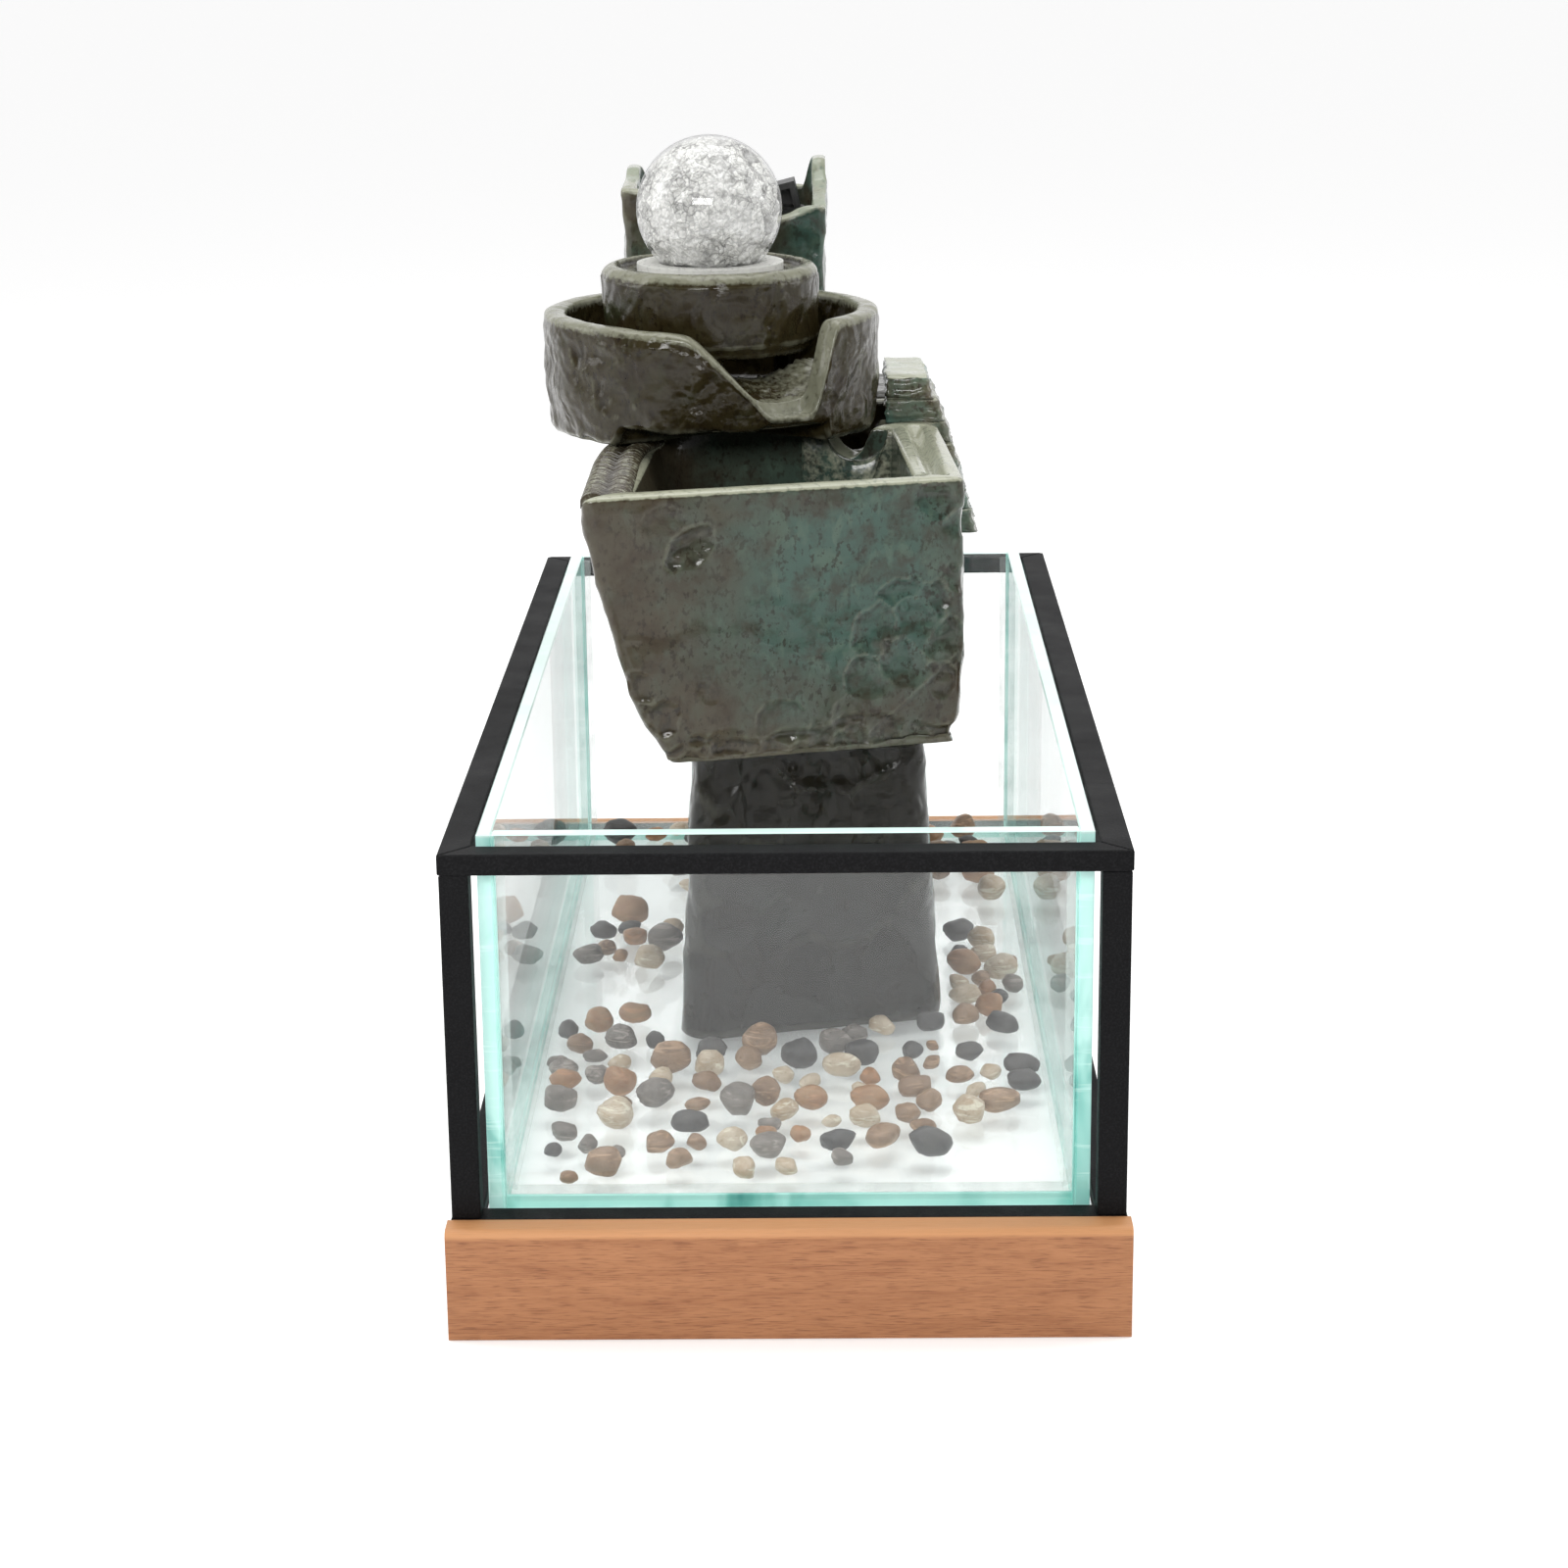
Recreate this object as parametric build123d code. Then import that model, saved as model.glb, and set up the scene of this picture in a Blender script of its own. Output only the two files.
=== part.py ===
"""Tabletop water fountain: stoneware basins stepping down into a glass tank in a
black tube frame that stands on two wooden feet.

Millimetres, +Z up.  X is the width of the tank, Y its length (front is -Y).
The origin is on the table under the middle of the frame.
"""
import math
import os
import random

from build123d import *

# ---------------------------------------------------------------- driving sizes
# Frame of rectangular steel tube
frame_width = 220.0
frame_length = 450.0
frame_top = 162.0
tube_width = 10.0
tube_height = 7.0
tube_wall = 1.2
post_size = 9.5
post_inset = 0.4

# Wooden feet, one under each end of the frame
foot_height = 38.0
foot_overhang = 1.0
foot_thickness = 10.0
foot_shelf = 14.0
foot_edge_radius = 2.5
screw_radius = 1.5
screw_head_radius = 3.2
screw_grip = 3.0
screws_per_foot = 3

# Board under the glass, carried by tabs welded under the lower rails
board_thickness = 4.0
board_gap = 0.5
tab_thickness = 1.5
tab_width = 14.0
tab_reach = 12.0
tab_stations = (-0.31, 0.0, 0.31)

# Glass tank
glass = 5.0
tank_gap = 1.5
tank_proud = 3.5
seal_leg = 3.5

# Stoneware
plinth_height = 111.0
plinth_flare = 6.0
plinth_wall = 8.0
plinth_left = -42.0
plinth_right = 55.5
plinth_front = -60.5
plinth_back = 108.0

trough_height = 98.5
trough_left = -72.5
trough_right = 63.0
trough_front = -73.0
trough_back = 60.0
trough_front_wall = 9.0
trough_side_wall = 17.0
trough_back_wall = 9.0
trough_floor = 14.0
front_slant = 14.5
notch_radius = 11.5
notch_x = 26.0
tier_gap = 0.6

basin_left = -50.0
basin_depth = 61.0
basin_wall = 8.0
basin_floor = 14.0
ledge_gap = 2.0
ledge_width = 20.0
ledge_rise = 17.5
ledge_layers = 7
ledge_drop = 44.0
ledge_reach = 17.0

column_left = -38.0
column_right = 48.0
column_gap = 2.0
column_depth = 59.0
column_wall = 8.0
hose_hole_gap = 3.5

box_left = -68.0
box_right = 15.0
box_height = 92.0
box_wall = 6.0
box_hole_gap = 1.3
box_basin_depth = 34.0
box_merlon = 10.5
box_merlon_length = 20.0
outlet_notch_radius = 14.0

bowl_x = -30.0
bowl_y = 60.0
bowl_radius = 65.0
bowl_height = 45.5
bowl_wall = 9.0
bowl_floor = 8.5
bowl_relief = 8.0
lip_angle = -57.0
lip_left = -12.5
lip_right = 8.0
shoulder_left = -37.0
shoulder_right = 16.0
lip_rise = 1.5

pedestal_radius = 42.0
pedestal_height = 32.5
pedestal_wall = 8.0
pedestal_foot_height = 21.5
pedestal_foot_radius = 6.0
pedestal_recess = 2.5

# Glass ball and the lamp that it turns in
ball_radius = 28.0
ball_gap = 0.3
cup_margin = 0.2
cup_height = 10.5
cup_sink = 8.2
cup_proud = 0.3
lamp_step = 3.7
lamp_height = 15.0
lamp_wall = 1.6
lamp_board_thickness = 1.6
led_count = 6
led_size = 3.0

# Pump, with its shaft along X
pump_axis_x = -1.0
pump_width = 34.0
pump_motor_length = 28.0
pump_chamber_length = 16.0
pump_body_height = 40.0
pump_lift = 6.0
pump_cover_length = 7.0
rotor_radius = 8.0
chamber_radius = 12.0
impeller_radius = 10.5
impeller_blades = 6
shaft_radius = 1.5
shaft_fit = 0.05
rotor_gap = 0.6
dial_radius = 6.0
dial_thickness = 3.0
riser_radius = 5.5
riser_wall = 1.5
nozzle_length = 46.0
nozzle_depth = 18.0
nozzle_height = 13.0
nozzle_tilt = 14.0
nozzle_drop = 9.0
nozzle_inset = 5.0
nozzle_fit = 0.3

# Loose pebbles: how many of each colour, and where they gather
# (share of tank width, share of tank length, spread, how many)
pebble_heaps = (
    (0.05, -0.235, 22.0, 26),
    (-0.30, -0.245, 21.0, 22),
    (0.30, -0.29, 16.0, 10),
    (-0.34, -0.40, 12.0, 6),
    (0.36, -0.02, 17.0, 18),
    (-0.37, 0.10, 14.0, 10),
    (-0.20, 0.44, 26.0, 12),
    (0.24, 0.43, 26.0, 14),
    (0.12, -0.37, 24.0, 8),
    (-0.12, -0.34, 24.0, 8),
)
pebble_colours = ("tan", "cream", "grey", "charcoal", "rust")
pebble_small = 3.4
pebble_large = 9.4
pebble_clearance = 0.35
pebble_seed = 11

# ---------------------------------------------------------------- derived levels
foot_length = frame_width + 2 * foot_overhang
lower_rail_top = foot_height
lower_rail_bottom = lower_rail_top - tube_height
board_top = lower_rail_bottom + board_thickness
tank_floor = board_top + glass
tank_top = frame_top + tank_proud
tank_width = frame_width - 2 * tube_width - 2 * tank_gap
tank_length = frame_length - 2 * tube_width - 2 * tank_gap + 1.0
plinth_top = tank_floor + plinth_height
trough_top = plinth_top + trough_height
basin_front = trough_back + tier_gap
basin_back = basin_front + basin_depth
ledge_inner = bowl_x + bowl_radius + ledge_gap
basin_right = ledge_inner + ledge_width
column_front = max(basin_back, bowl_y + bowl_radius) + column_gap
column_back = column_front + column_depth
box_top = trough_top + box_height
box_floor = box_top - box_basin_depth
bowl_base = trough_top
bowl_top = bowl_base + bowl_height
bowl_inside = bowl_base + bowl_floor
pedestal_base = bowl_inside + pedestal_foot_height
pedestal_top = pedestal_base + pedestal_height
cup_radius = ball_radius + cup_margin
lamp_radius = cup_radius - lamp_step
cup_top = pedestal_top + cup_proud
ball_height = cup_top - cup_sink + ball_radius + ball_gap
pump_y = (column_front + column_back) / 2
pump_base = tank_floor + pump_lift
shaft_z = pump_base + pump_body_height / 2
chamber_left = pump_axis_x - pump_chamber_length / 2
chamber_right = pump_axis_x + pump_chamber_length / 2
motor_right = chamber_right + pump_motor_length
riser_top = box_floor + 3.0
slant = math.tan(math.radians(front_slant))


def save(shape, name):
    """Write one named piece."""
    export_step(shape, f"parts/{name}.step")


def block(x0, x1, y0, y1, z0, z1):
    """Box between two corners."""
    size = Box(x1 - x0, y1 - y0, z1 - z0)
    return Pos((x0 + x1) / 2, (y0 + y1) / 2, (z0 + z1) / 2) * size


def drum(x, y, z0, z1, radius):
    """Upright cylinder."""
    return Pos(x, y, (z0 + z1) / 2) * Cylinder(radius, z1 - z0)


def drum_x(x0, x1, y, z, radius):
    """Cylinder along X."""
    return Pos((x0 + x1) / 2, y, z) * Rot(0, 90, 0) * Cylinder(radius, x1 - x0)


def group(solids):
    """Several separate solids as one node."""
    flat = []
    for piece in solids:
        flat.extend(piece.solids())
    return Compound(children=[Solid(s.wrapped) for s in flat])


# ---------------------------------------------------------------- frame
def mitred_rail(length, along_x, bottom, side):
    """Hollow rail whose ends are cut at 45 degrees to meet its neighbours."""
    outer = block(-length / 2, length / 2, 0, tube_width, bottom, bottom + tube_height)
    inner = block(-length / 2, length / 2, tube_wall, tube_width - tube_wall,
                  bottom + tube_wall, bottom + tube_height - tube_wall)
    rail = outer - inner
    for end in (-1, 1):
        corner = Polygon(
            (end * length / 2, 0),
            (end * (length / 2 - tube_width), tube_width),
            (end * length / 2, tube_width),
            align=None,
        )
        rail -= Pos(0, 0, bottom - 1) * extrude(corner, tube_height + 2, dir=(0, 0, 1))
    offset = (frame_length if along_x else frame_width) / 2
    turn = {(True, -1): 0, (True, 1): 180, (False, 1): 90, (False, -1): -90}[(along_x, side)]
    return Rot(0, 0, turn) * Pos(0, -offset, 0) * rail


def rails(along_x, bottom):
    """The two facing rails of one ring."""
    length = frame_width if along_x else frame_length
    return group([mitred_rail(length, along_x, bottom, side) for side in (-1, 1)])


def corner_posts():
    """Four upright tubes between the rings."""
    posts = []
    for sx in (-1, 1):
        for sy in (-1, 1):
            x = sx * (frame_width / 2 - post_inset - post_size / 2)
            y = sy * (frame_length / 2 - post_inset - post_size / 2)
            height = frame_top - tube_height - lower_rail_top
            tube = Box(post_size, post_size, height)
            tube -= Box(post_size - 2 * tube_wall, post_size - 2 * tube_wall, height)
            posts.append(Pos(x, y, lower_rail_top + height / 2) * tube)
    return group(posts)


def board_tabs():
    """Small plates under the side rails that carry the board."""
    tabs = []
    for share in tab_stations:
        for sx in (-1, 1):
            inner = frame_width / 2 - tube_width - tab_reach
            outer = frame_width / 2 - tube_wall
            y = share * frame_length
            tabs.append(block(*sorted((sx * inner, sx * outer)), y - tab_width / 2,
                              y + tab_width / 2, lower_rail_bottom - tab_thickness,
                              lower_rail_bottom))
    return group(tabs)


def screw_places():
    """X of the screws in one foot."""
    pitch = foot_length / (screws_per_foot + 0.6)
    return [pitch * (i - (screws_per_foot - 1) / 2) for i in range(screws_per_foot)]


def wooden_foot(side):
    """Plank with a rabbet that the end rail of the frame sits in."""
    inside = frame_length / 2
    plank = block(-foot_length / 2, foot_length / 2, -inside - foot_thickness, -inside,
                  0, foot_height)
    top_edges = plank.edges().filter_by(Axis.X).group_by(Axis.Z)[-1]
    plank = fillet(top_edges.sort_by(Axis.Y)[0], foot_edge_radius)
    plank += block(-foot_length / 2, foot_length / 2, -inside, -inside + foot_shelf,
                   0, lower_rail_bottom)
    for x in screw_places():
        y = -inside + tube_width / 2
        plank -= drum(x, y, -1, lower_rail_bottom + 1, screw_radius + 0.3)
        plank -= drum(x, y, -1, lower_rail_bottom - screw_grip - 6, screw_head_radius + 0.4)
    return plank if side < 0 else Rot(0, 0, 180) * plank


def foot_screws():
    """Screws that go up through each foot to the end rails."""
    screws = []
    for sy in (-1, 1):
        for x in screw_places():
            y = sy * (frame_length / 2 - tube_width / 2)
            seat = lower_rail_bottom - screw_grip - 6
            screw = drum(x, y, seat - 2.4, seat, screw_head_radius)
            screw += drum(x, y, seat - 0.1, lower_rail_bottom, screw_radius)
            screw -= Pos(x, y, seat - 2.4) * Box(0.9, 4.4, 2.0)
            screws.append(screw)
    return group(screws)


def base_board():
    """White board inside the lower ring."""
    half_x = frame_width / 2 - tube_width - board_gap
    half_y = frame_length / 2 - max(tube_width, foot_shelf) - board_gap
    return block(-half_x, half_x, -half_y, half_y, lower_rail_bottom, board_top)


# ---------------------------------------------------------------- tank
def tank_panes():
    """Side panes run the whole length; the end panes and floor fit between them."""
    hx = tank_width / 2
    hy = tank_length / 2
    return {
        "tank_left_pane": block(-hx, -hx + glass, -hy, hy, board_top, tank_top),
        "tank_right_pane": block(hx - glass, hx, -hy, hy, board_top, tank_top),
        "tank_front_pane": block(-hx + glass, hx - glass, -hy, -hy + glass, board_top, tank_top),
        "tank_rear_pane": block(-hx + glass, hx - glass, hy - glass, hy, board_top, tank_top),
        "tank_floor_pane": block(-hx + glass, hx - glass, -hy + glass, hy - glass,
                                 board_top, tank_floor),
    }


def tank_seal():
    """Silicone bead round the floor and up the four inside corners."""
    hx = tank_width / 2 - glass
    hy = tank_length / 2 - glass
    outer = Rectangle(2 * hx, 2 * hy)
    inner_low = Rectangle(2 * (hx - seal_leg), 2 * (hy - seal_leg))
    ring = extrude(outer, seal_leg)
    ring -= loft([inner_low, Pos(0, 0, seal_leg) * outer])
    beads = [Pos(0, 0, tank_floor) * ring]
    for sx in (-1, 1):
        for sy in (-1, 1):
            corner = Polygon((sx * hx, sy * hy), (sx * (hx - seal_leg), sy * hy),
                             (sx * hx, sy * (hy - seal_leg)), align=None)
            low = tank_floor + seal_leg
            beads.append(Pos(0, 0, low) * extrude(corner, tank_top - 2 - low, dir=(0, 0, 1)))
    return group(beads)


# ---------------------------------------------------------------- stoneware
def plan(left, right, front, back, radii, z, tilt=slant):
    """Four-sided outline at height z whose front edge is set at an angle.

    radii are the corner radii: front left, front right, back right, back left.
    front is the place of the front edge at x = 0.
    """
    corners = [(left, front + left * tilt), (right, front + right * tilt),
               (right, back), (left, back)]
    face = Polygon(*corners, align=None)
    for corner, radius in zip(corners, radii):
        if radius > 0:
            vertex = face.vertices().sort_by_distance((corner[0], corner[1], 0))[0]
            face = fillet(vertex, radius)
    return Pos(0, 0, z) * face


def plinth():
    """Hollow foot of the fountain, a little wider at the bottom."""
    outside = loft([
        plan(plinth_left, plinth_right, plinth_front, plinth_back, (10, 10, 12, 12), tank_floor),
        plan(plinth_left + plinth_flare, plinth_right - plinth_flare, plinth_front,
             plinth_back - plinth_flare / 2, (10, 10, 12, 12), plinth_top),
    ], ruled=True)
    w = plinth_wall
    hollow = loft([
        plan(plinth_left + w, plinth_right - w, plinth_front + w, plinth_back - w,
             (5, 5, 5, 5), tank_floor - 1),
        plan(plinth_left + plinth_flare + w, plinth_right - plinth_flare - w, plinth_front + w,
             plinth_back - plinth_flare / 2 - w, (5, 5, 5, 5), plinth_top - w),
    ], ruled=True)
    body = outside - hollow
    middle = (plinth_front + plinth_back) / 2
    for y in (middle - 30, middle + 30):
        arch = Pos((plinth_left + plinth_right) / 2, y, tank_floor)
        body -= arch * Rot(0, 90, 0) * Cylinder(9, plinth_right - plinth_left + 10)
    return body


def front_trough():
    """Rock-faced basin; its left side leans in towards the plinth."""
    side_shift = (27.0, 12.0, 0.0)
    levels = (plinth_top, plinth_top + 25, trough_top)
    outside = Part()
    for i in range(2):
        outside += loft([
            plan(trough_left + side_shift[j], trough_right, trough_front, trough_back,
                 (3, 4, 6, 24), levels[j])
            for j in (i, i + 1)
        ], ruled=True)
    floor = plinth_top + trough_floor
    hollow = loft([
        plan(trough_left + side_shift[0] + trough_side_wall - 6, trough_right - trough_side_wall,
             trough_front + trough_front_wall + 4, trough_back - trough_back_wall - 2,
             (8, 8, 6, 8), floor),
        plan(trough_left + trough_side_wall + 2, trough_right - trough_side_wall + 1,
             trough_front + trough_front_wall, trough_back - trough_back_wall,
             (8, 8, 4, 14), trough_top + 1),
    ], ruled=True)
    body = outside - hollow
    body -= notch(trough_back - trough_back_wall - 6, trough_back + 1)
    return body


def notch(y0, y1):
    """Half-round water notch between the rear basin and the trough."""
    return Pos(notch_x, (y0 + y1) / 2, trough_top) * Rot(90, 0, 0) * Cylinder(notch_radius, y1 - y0)


def rear_basin():
    """Middle basin with layered ledges down its right side."""
    outside = block(basin_left, basin_right, basin_front, basin_back, plinth_top, trough_top)
    back_edges = outside.edges().filter_by(Axis.Z).group_by(Axis.Y)[-1]
    body = fillet(back_edges, 8)
    drop = trough_top + ledge_rise - (trough_top - ledge_drop)
    layer = drop / ledge_layers
    for i in range(ledge_layers):
        top = trough_top + ledge_rise - i * layer
        reach = basin_right + ledge_reach * (i / (ledge_layers - 1)) ** 0.8
        inner = ledge_inner if top > trough_top + 0.1 else basin_right - basin_wall
        low = max(top - layer, trough_top - ledge_drop)
        front = basin_front + max(0.0, (2.5 - i) * 2.6)
        if top > trough_top > low:
            body += block(ledge_inner, reach, front, basin_back - 6, trough_top, top)
            inner = basin_right - basin_wall
            body += block(inner, reach, front, basin_back - 6, low, trough_top)
        else:
            body += block(inner, reach, front, basin_back - 6, low, top)
    w = basin_wall
    body -= block(basin_left + w, ledge_inner, basin_front + w, basin_back - w,
                  plinth_top + basin_floor, trough_top + ledge_rise + 1)
    body -= block(ledge_inner - 0.01, basin_right - w, basin_front + w, basin_back - w,
                  plinth_top + basin_floor, trough_top - w)
    body -= notch(basin_front - 1, basin_front + w + 1)
    return body


def pump_column():
    """Hollow rear column that stands over the pump."""
    body = block(column_left, column_right, column_front, column_back, tank_floor, trough_top)
    body = fillet(body.edges().filter_by(Axis.Z), 9)
    w = column_wall
    body -= block(column_left + w, column_right - w, column_front + w, column_back - w,
                  tank_floor - 1, trough_top - w)
    body -= drum(pump_axis_x, pump_y, trough_top - w - 1, trough_top + 1,
                 riser_radius + hose_hole_gap)
    for x in (column_left, column_right):
        body -= Pos(x, pump_y, tank_floor) * Rot(0, 90, 0) * Cylinder(9, 3 * w)
    body -= Pos((column_left + column_right) / 2, column_back, tank_floor) * Rot(90, 0, 0) * \
        Cylinder(8, 3 * w)
    return body


def source_box():
    """Top box: water rises into it and leaves by the notch in its front wall."""
    body = block(box_left, box_right, column_front, column_back, trough_top, box_top - box_merlon)
    body = fillet(body.edges().filter_by(Axis.Z), 3)
    w = box_wall
    for x0, x1 in ((box_left, box_left + w), (box_right - w, box_right)):
        body += block(x0, x1, column_back - box_merlon_length - 3, column_back - 3,
                      box_top - box_merlon - 1, box_top)
    body -= block(box_left + w, box_right - w, column_front + w, column_back - w,
                  box_floor, box_top + 1)
    body -= block(box_left + w, box_right - w, column_front + w, column_back - w,
                  trough_top - 1, box_floor - w)
    body -= drum(pump_axis_x, pump_y, box_floor - w - 1, box_floor + 1,
                 riser_radius + box_hole_gap)
    body -= Pos((box_left + box_right) / 2, column_front + w / 2, box_top - box_merlon) * \
        Rot(90, 0, 0) * Cylinder(outlet_notch_radius, 2 * w)
    return body


def bowl():
    """Round bowl with a pouring lip cut down through its wall."""
    body = Pos(0, 0, bowl_base) * extrude(Circle(bowl_radius - 1.5), bowl_height / 2)
    body += Pos(0, 0, bowl_base + bowl_height / 2) * extrude(Circle(bowl_radius), bowl_height / 2)
    body -= Pos(0, 0, bowl_inside) * extrude(Circle(bowl_radius - bowl_wall), bowl_height)
    cut = Polygon(
        (shoulder_left, bowl_top + 1),
        (lip_left, bowl_inside + lip_rise),
        (lip_right, bowl_inside + lip_rise),
        (shoulder_right, bowl_top + 1),
        align=None,
    )
    reach = bowl_wall + 16
    spout = Rot(90, 0, 0) * extrude(cut, reach, dir=(0, 0, 1))
    spout = Pos(0, -(bowl_radius + 2 - reach), 0) * spout
    body -= Rot(0, 0, lip_angle + 90) * spout
    relief = block(-bowl_radius * 0.6, bowl_radius * 0.72, -bowl_radius - 1,
                   -bowl_radius * 0.69, bowl_base - 1, bowl_base + bowl_relief)
    body -= relief
    return Pos(bowl_x, bowl_y, 0) * body


def pedestal():
    """Hollow drum on three feet that holds the lamp and the ball."""
    body = extrude(Circle(pedestal_radius), pedestal_height)
    body = fillet(body.edges().group_by(Axis.Z)[-1], 4)
    body -= Pos(0, 0, pedestal_height - pedestal_recess) * Cylinder(
        pedestal_radius - pedestal_wall, 2 * pedestal_recess)
    body -= Pos(0, 0, pedestal_height + cup_proud - cup_height) * extrude(
        Circle(cup_radius + 0.3), cup_height)
    body -= Pos(0, 0, -1) * extrude(Circle(lamp_radius + 0.5), pedestal_height + 2)
    for i in range(3):
        turn = Rot(0, 0, 30 + 120 * i)
        foot = Pos(pedestal_radius - 9, 0, -pedestal_foot_height) * extrude(
            Circle(pedestal_foot_radius), pedestal_foot_height + 1)
        body += turn * foot
    return Pos(bowl_x, bowl_y, pedestal_base) * body


# ---------------------------------------------------------------- ball and lamp
def crystal_ball():
    """Crackled glass ball."""
    return Pos(bowl_x, bowl_y, ball_height) * Sphere(ball_radius)


def lamp_cup():
    """Clear cup that the ball turns in."""
    body = extrude(Circle(cup_radius), cup_height)
    body -= Pos(0, 0, ball_height - (cup_top - cup_height)) * Sphere(ball_radius + ball_gap)
    return Pos(bowl_x, bowl_y, cup_top - cup_height) * body


lamp_top = cup_top - cup_height


def lamp_housing():
    """Round potted case below the cup."""
    body = extrude(Circle(lamp_radius), lamp_height)
    body -= Pos(0, 0, lamp_wall) * extrude(Circle(lamp_radius - lamp_wall), lamp_height)
    return Pos(bowl_x, bowl_y, lamp_top - lamp_height) * body


board_level = lamp_top - lamp_height + lamp_wall


def lamp_board():
    """Round circuit board on the floor of the lamp case."""
    disc = Cylinder(lamp_radius - lamp_wall - 0.3, lamp_board_thickness)
    return Pos(bowl_x, bowl_y, board_level + lamp_board_thickness / 2) * disc


def lamp_leds():
    """Ring of light-emitting chips on the board."""
    chips = []
    for i in range(led_count):
        angle = 2 * math.pi * i / led_count
        x = bowl_x + 14 * math.cos(angle)
        y = bowl_y + 14 * math.sin(angle)
        z = board_level + lamp_board_thickness
        chips.append(block(x - led_size / 2, x + led_size / 2, y - led_size / 2,
                           y + led_size / 2, z, z + 1.2))
    return group(chips)


def lamp_seal():
    """Flat ring that keeps water out between cup and case."""
    ring = Cylinder(lamp_radius - lamp_wall, 1.0) - Cylinder(lamp_radius - lamp_wall - 3, 1.0)
    return Pos(bowl_x, bowl_y, lamp_top - 0.5) * ring


# ---------------------------------------------------------------- pump
def pump_body():
    """Motor case with the pumping chamber on its left end."""
    y0 = pump_y - pump_width / 2
    y1 = pump_y + pump_width / 2
    body = block(chamber_left, motor_right, y0, y1, pump_base, pump_base + pump_body_height)
    body = fillet(body.edges().filter_by(Axis.X), 4)
    body -= drum_x(chamber_left - 1, chamber_right - 2, pump_y, shaft_z, chamber_radius)
    body -= drum_x(chamber_right - 3, motor_right - 4, pump_y, shaft_z, rotor_radius + rotor_gap)
    body -= drum_x(motor_right - 5, motor_right - 2, pump_y, shaft_z, shaft_radius)
    stub_top = pump_base + pump_body_height + 8
    body += drum(pump_axis_x, pump_y, stub_top - 10, stub_top, riser_radius - riser_wall)
    body -= drum(pump_axis_x, pump_y, shaft_z, stub_top + 1, riser_radius - 2 * riser_wall)
    return body


def pump_cover():
    """Snap-on intake cover with slots."""
    x0 = chamber_left - pump_cover_length
    half = pump_width / 2 - 1
    body = block(x0, chamber_left, pump_y - half, pump_y + half, pump_base + 1,
                 pump_base + pump_body_height - 1)
    body = fillet(body.edges().filter_by(Axis.X), 4)
    body -= block(x0 + 2, chamber_left + 1, pump_y - half + 2, pump_y + half - 2,
                  pump_base + 3, pump_base + pump_body_height - 3)
    for i in range(5):
        if i != 2:
            y = pump_y + (i - 2) * 5.2
            body -= block(x0 - 1, x0 + 3, y - 1, y + 1, shaft_z - 13, shaft_z + 13)
    return body


def flow_dial():
    """Dial on the cover that opens and shuts the intake."""
    x1 = chamber_left - pump_cover_length
    body = drum_x(x1 - dial_thickness, x1, pump_y, shaft_z, dial_radius)
    body += block(x1 - dial_thickness - 2, x1 - dial_thickness + 0.5, pump_y - 1, pump_y + 1,
                  shaft_z - dial_radius + 1, shaft_z + dial_radius - 1)
    return body


def pump_shaft():
    """Fixed ceramic pin that the rotor turns on."""
    return drum_x(chamber_left + 2, motor_right - 2, pump_y, shaft_z, shaft_radius)


def impeller():
    """Magnet rotor with radial blades in the chamber."""
    x0 = chamber_right - 1
    body = drum_x(x0, motor_right - 5, pump_y, shaft_z, rotor_radius)
    body += drum_x(chamber_left + 3, x0 + 1, pump_y, shaft_z, 4)
    for i in range(impeller_blades):
        blade = block(chamber_left + 3, chamber_right - 3, -0.8, 0.8, 0, impeller_radius)
        blade = Rot(360 / impeller_blades * i, 0, 0) * blade
        body += Pos(0, pump_y, shaft_z) * blade
    body -= drum_x(chamber_left, motor_right, pump_y, shaft_z, shaft_radius + shaft_fit)
    return body


def suction_cups():
    """Four rubber feet of the pump."""
    cups = []
    for x in (chamber_left + 8, motor_right - 8):
        for y in (pump_y - pump_width / 2 + 8, pump_y + pump_width / 2 - 8):
            cup = Cone(5.5, 2.5, pump_lift - 1.5)
            cup = Pos(x, y, tank_floor + (pump_lift - 1.5) / 2) * cup
            cup += drum(x, y, tank_floor + pump_lift - 2.5, pump_base, 2.5)
            cups.append(cup)
    return group(cups)


def riser_tube():
    """Straight hose from the pump up into the source box."""
    z0 = pump_base + pump_body_height
    tube = drum(pump_axis_x, pump_y, z0, riser_top, riser_radius)
    tube -= drum(pump_axis_x, pump_y, z0 - 1, riser_top + 1, riser_radius - riser_wall)
    return tube


def outlet_nozzle():
    """Black outlet block that slips over the top of the hose."""
    body = Box(nozzle_length, nozzle_depth, nozzle_height)
    body -= Pos(0, -3, 0) * Box(nozzle_length - 5, nozzle_depth, nozzle_height - 5)
    lean = Rot(0, -nozzle_tilt, 0) * body
    x = box_right - box_wall - nozzle_length / 2 - nozzle_inset
    z = box_top - box_merlon - nozzle_drop
    sleeve_outer = riser_radius + nozzle_fit + 1.0
    body = Pos(x, pump_y, z) * lean
    sleeve = drum(pump_axis_x, pump_y, box_floor, z + 1, sleeve_outer)
    body += sleeve
    body -= drum(pump_axis_x, pump_y, box_floor - 1, riser_top + 0.5, riser_radius + nozzle_fit)
    return body


# ---------------------------------------------------------------- pebbles
def keep_out(x, y, r):
    """True where a pebble would stand in the stoneware or in the tank wall."""
    hx = tank_width / 2 - glass - seal_leg
    hy = tank_length / 2 - glass - seal_leg
    if abs(x) > hx - r or abs(y) > hy - r:
        return True
    pad = r + 1.0
    front = plinth_front + x * slant
    if plinth_left - pad < x < plinth_right + pad and front - pad < y < plinth_back + pad:
        return True
    return column_left - pad < x < column_right + pad and column_front - pad < y < column_back + pad


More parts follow.
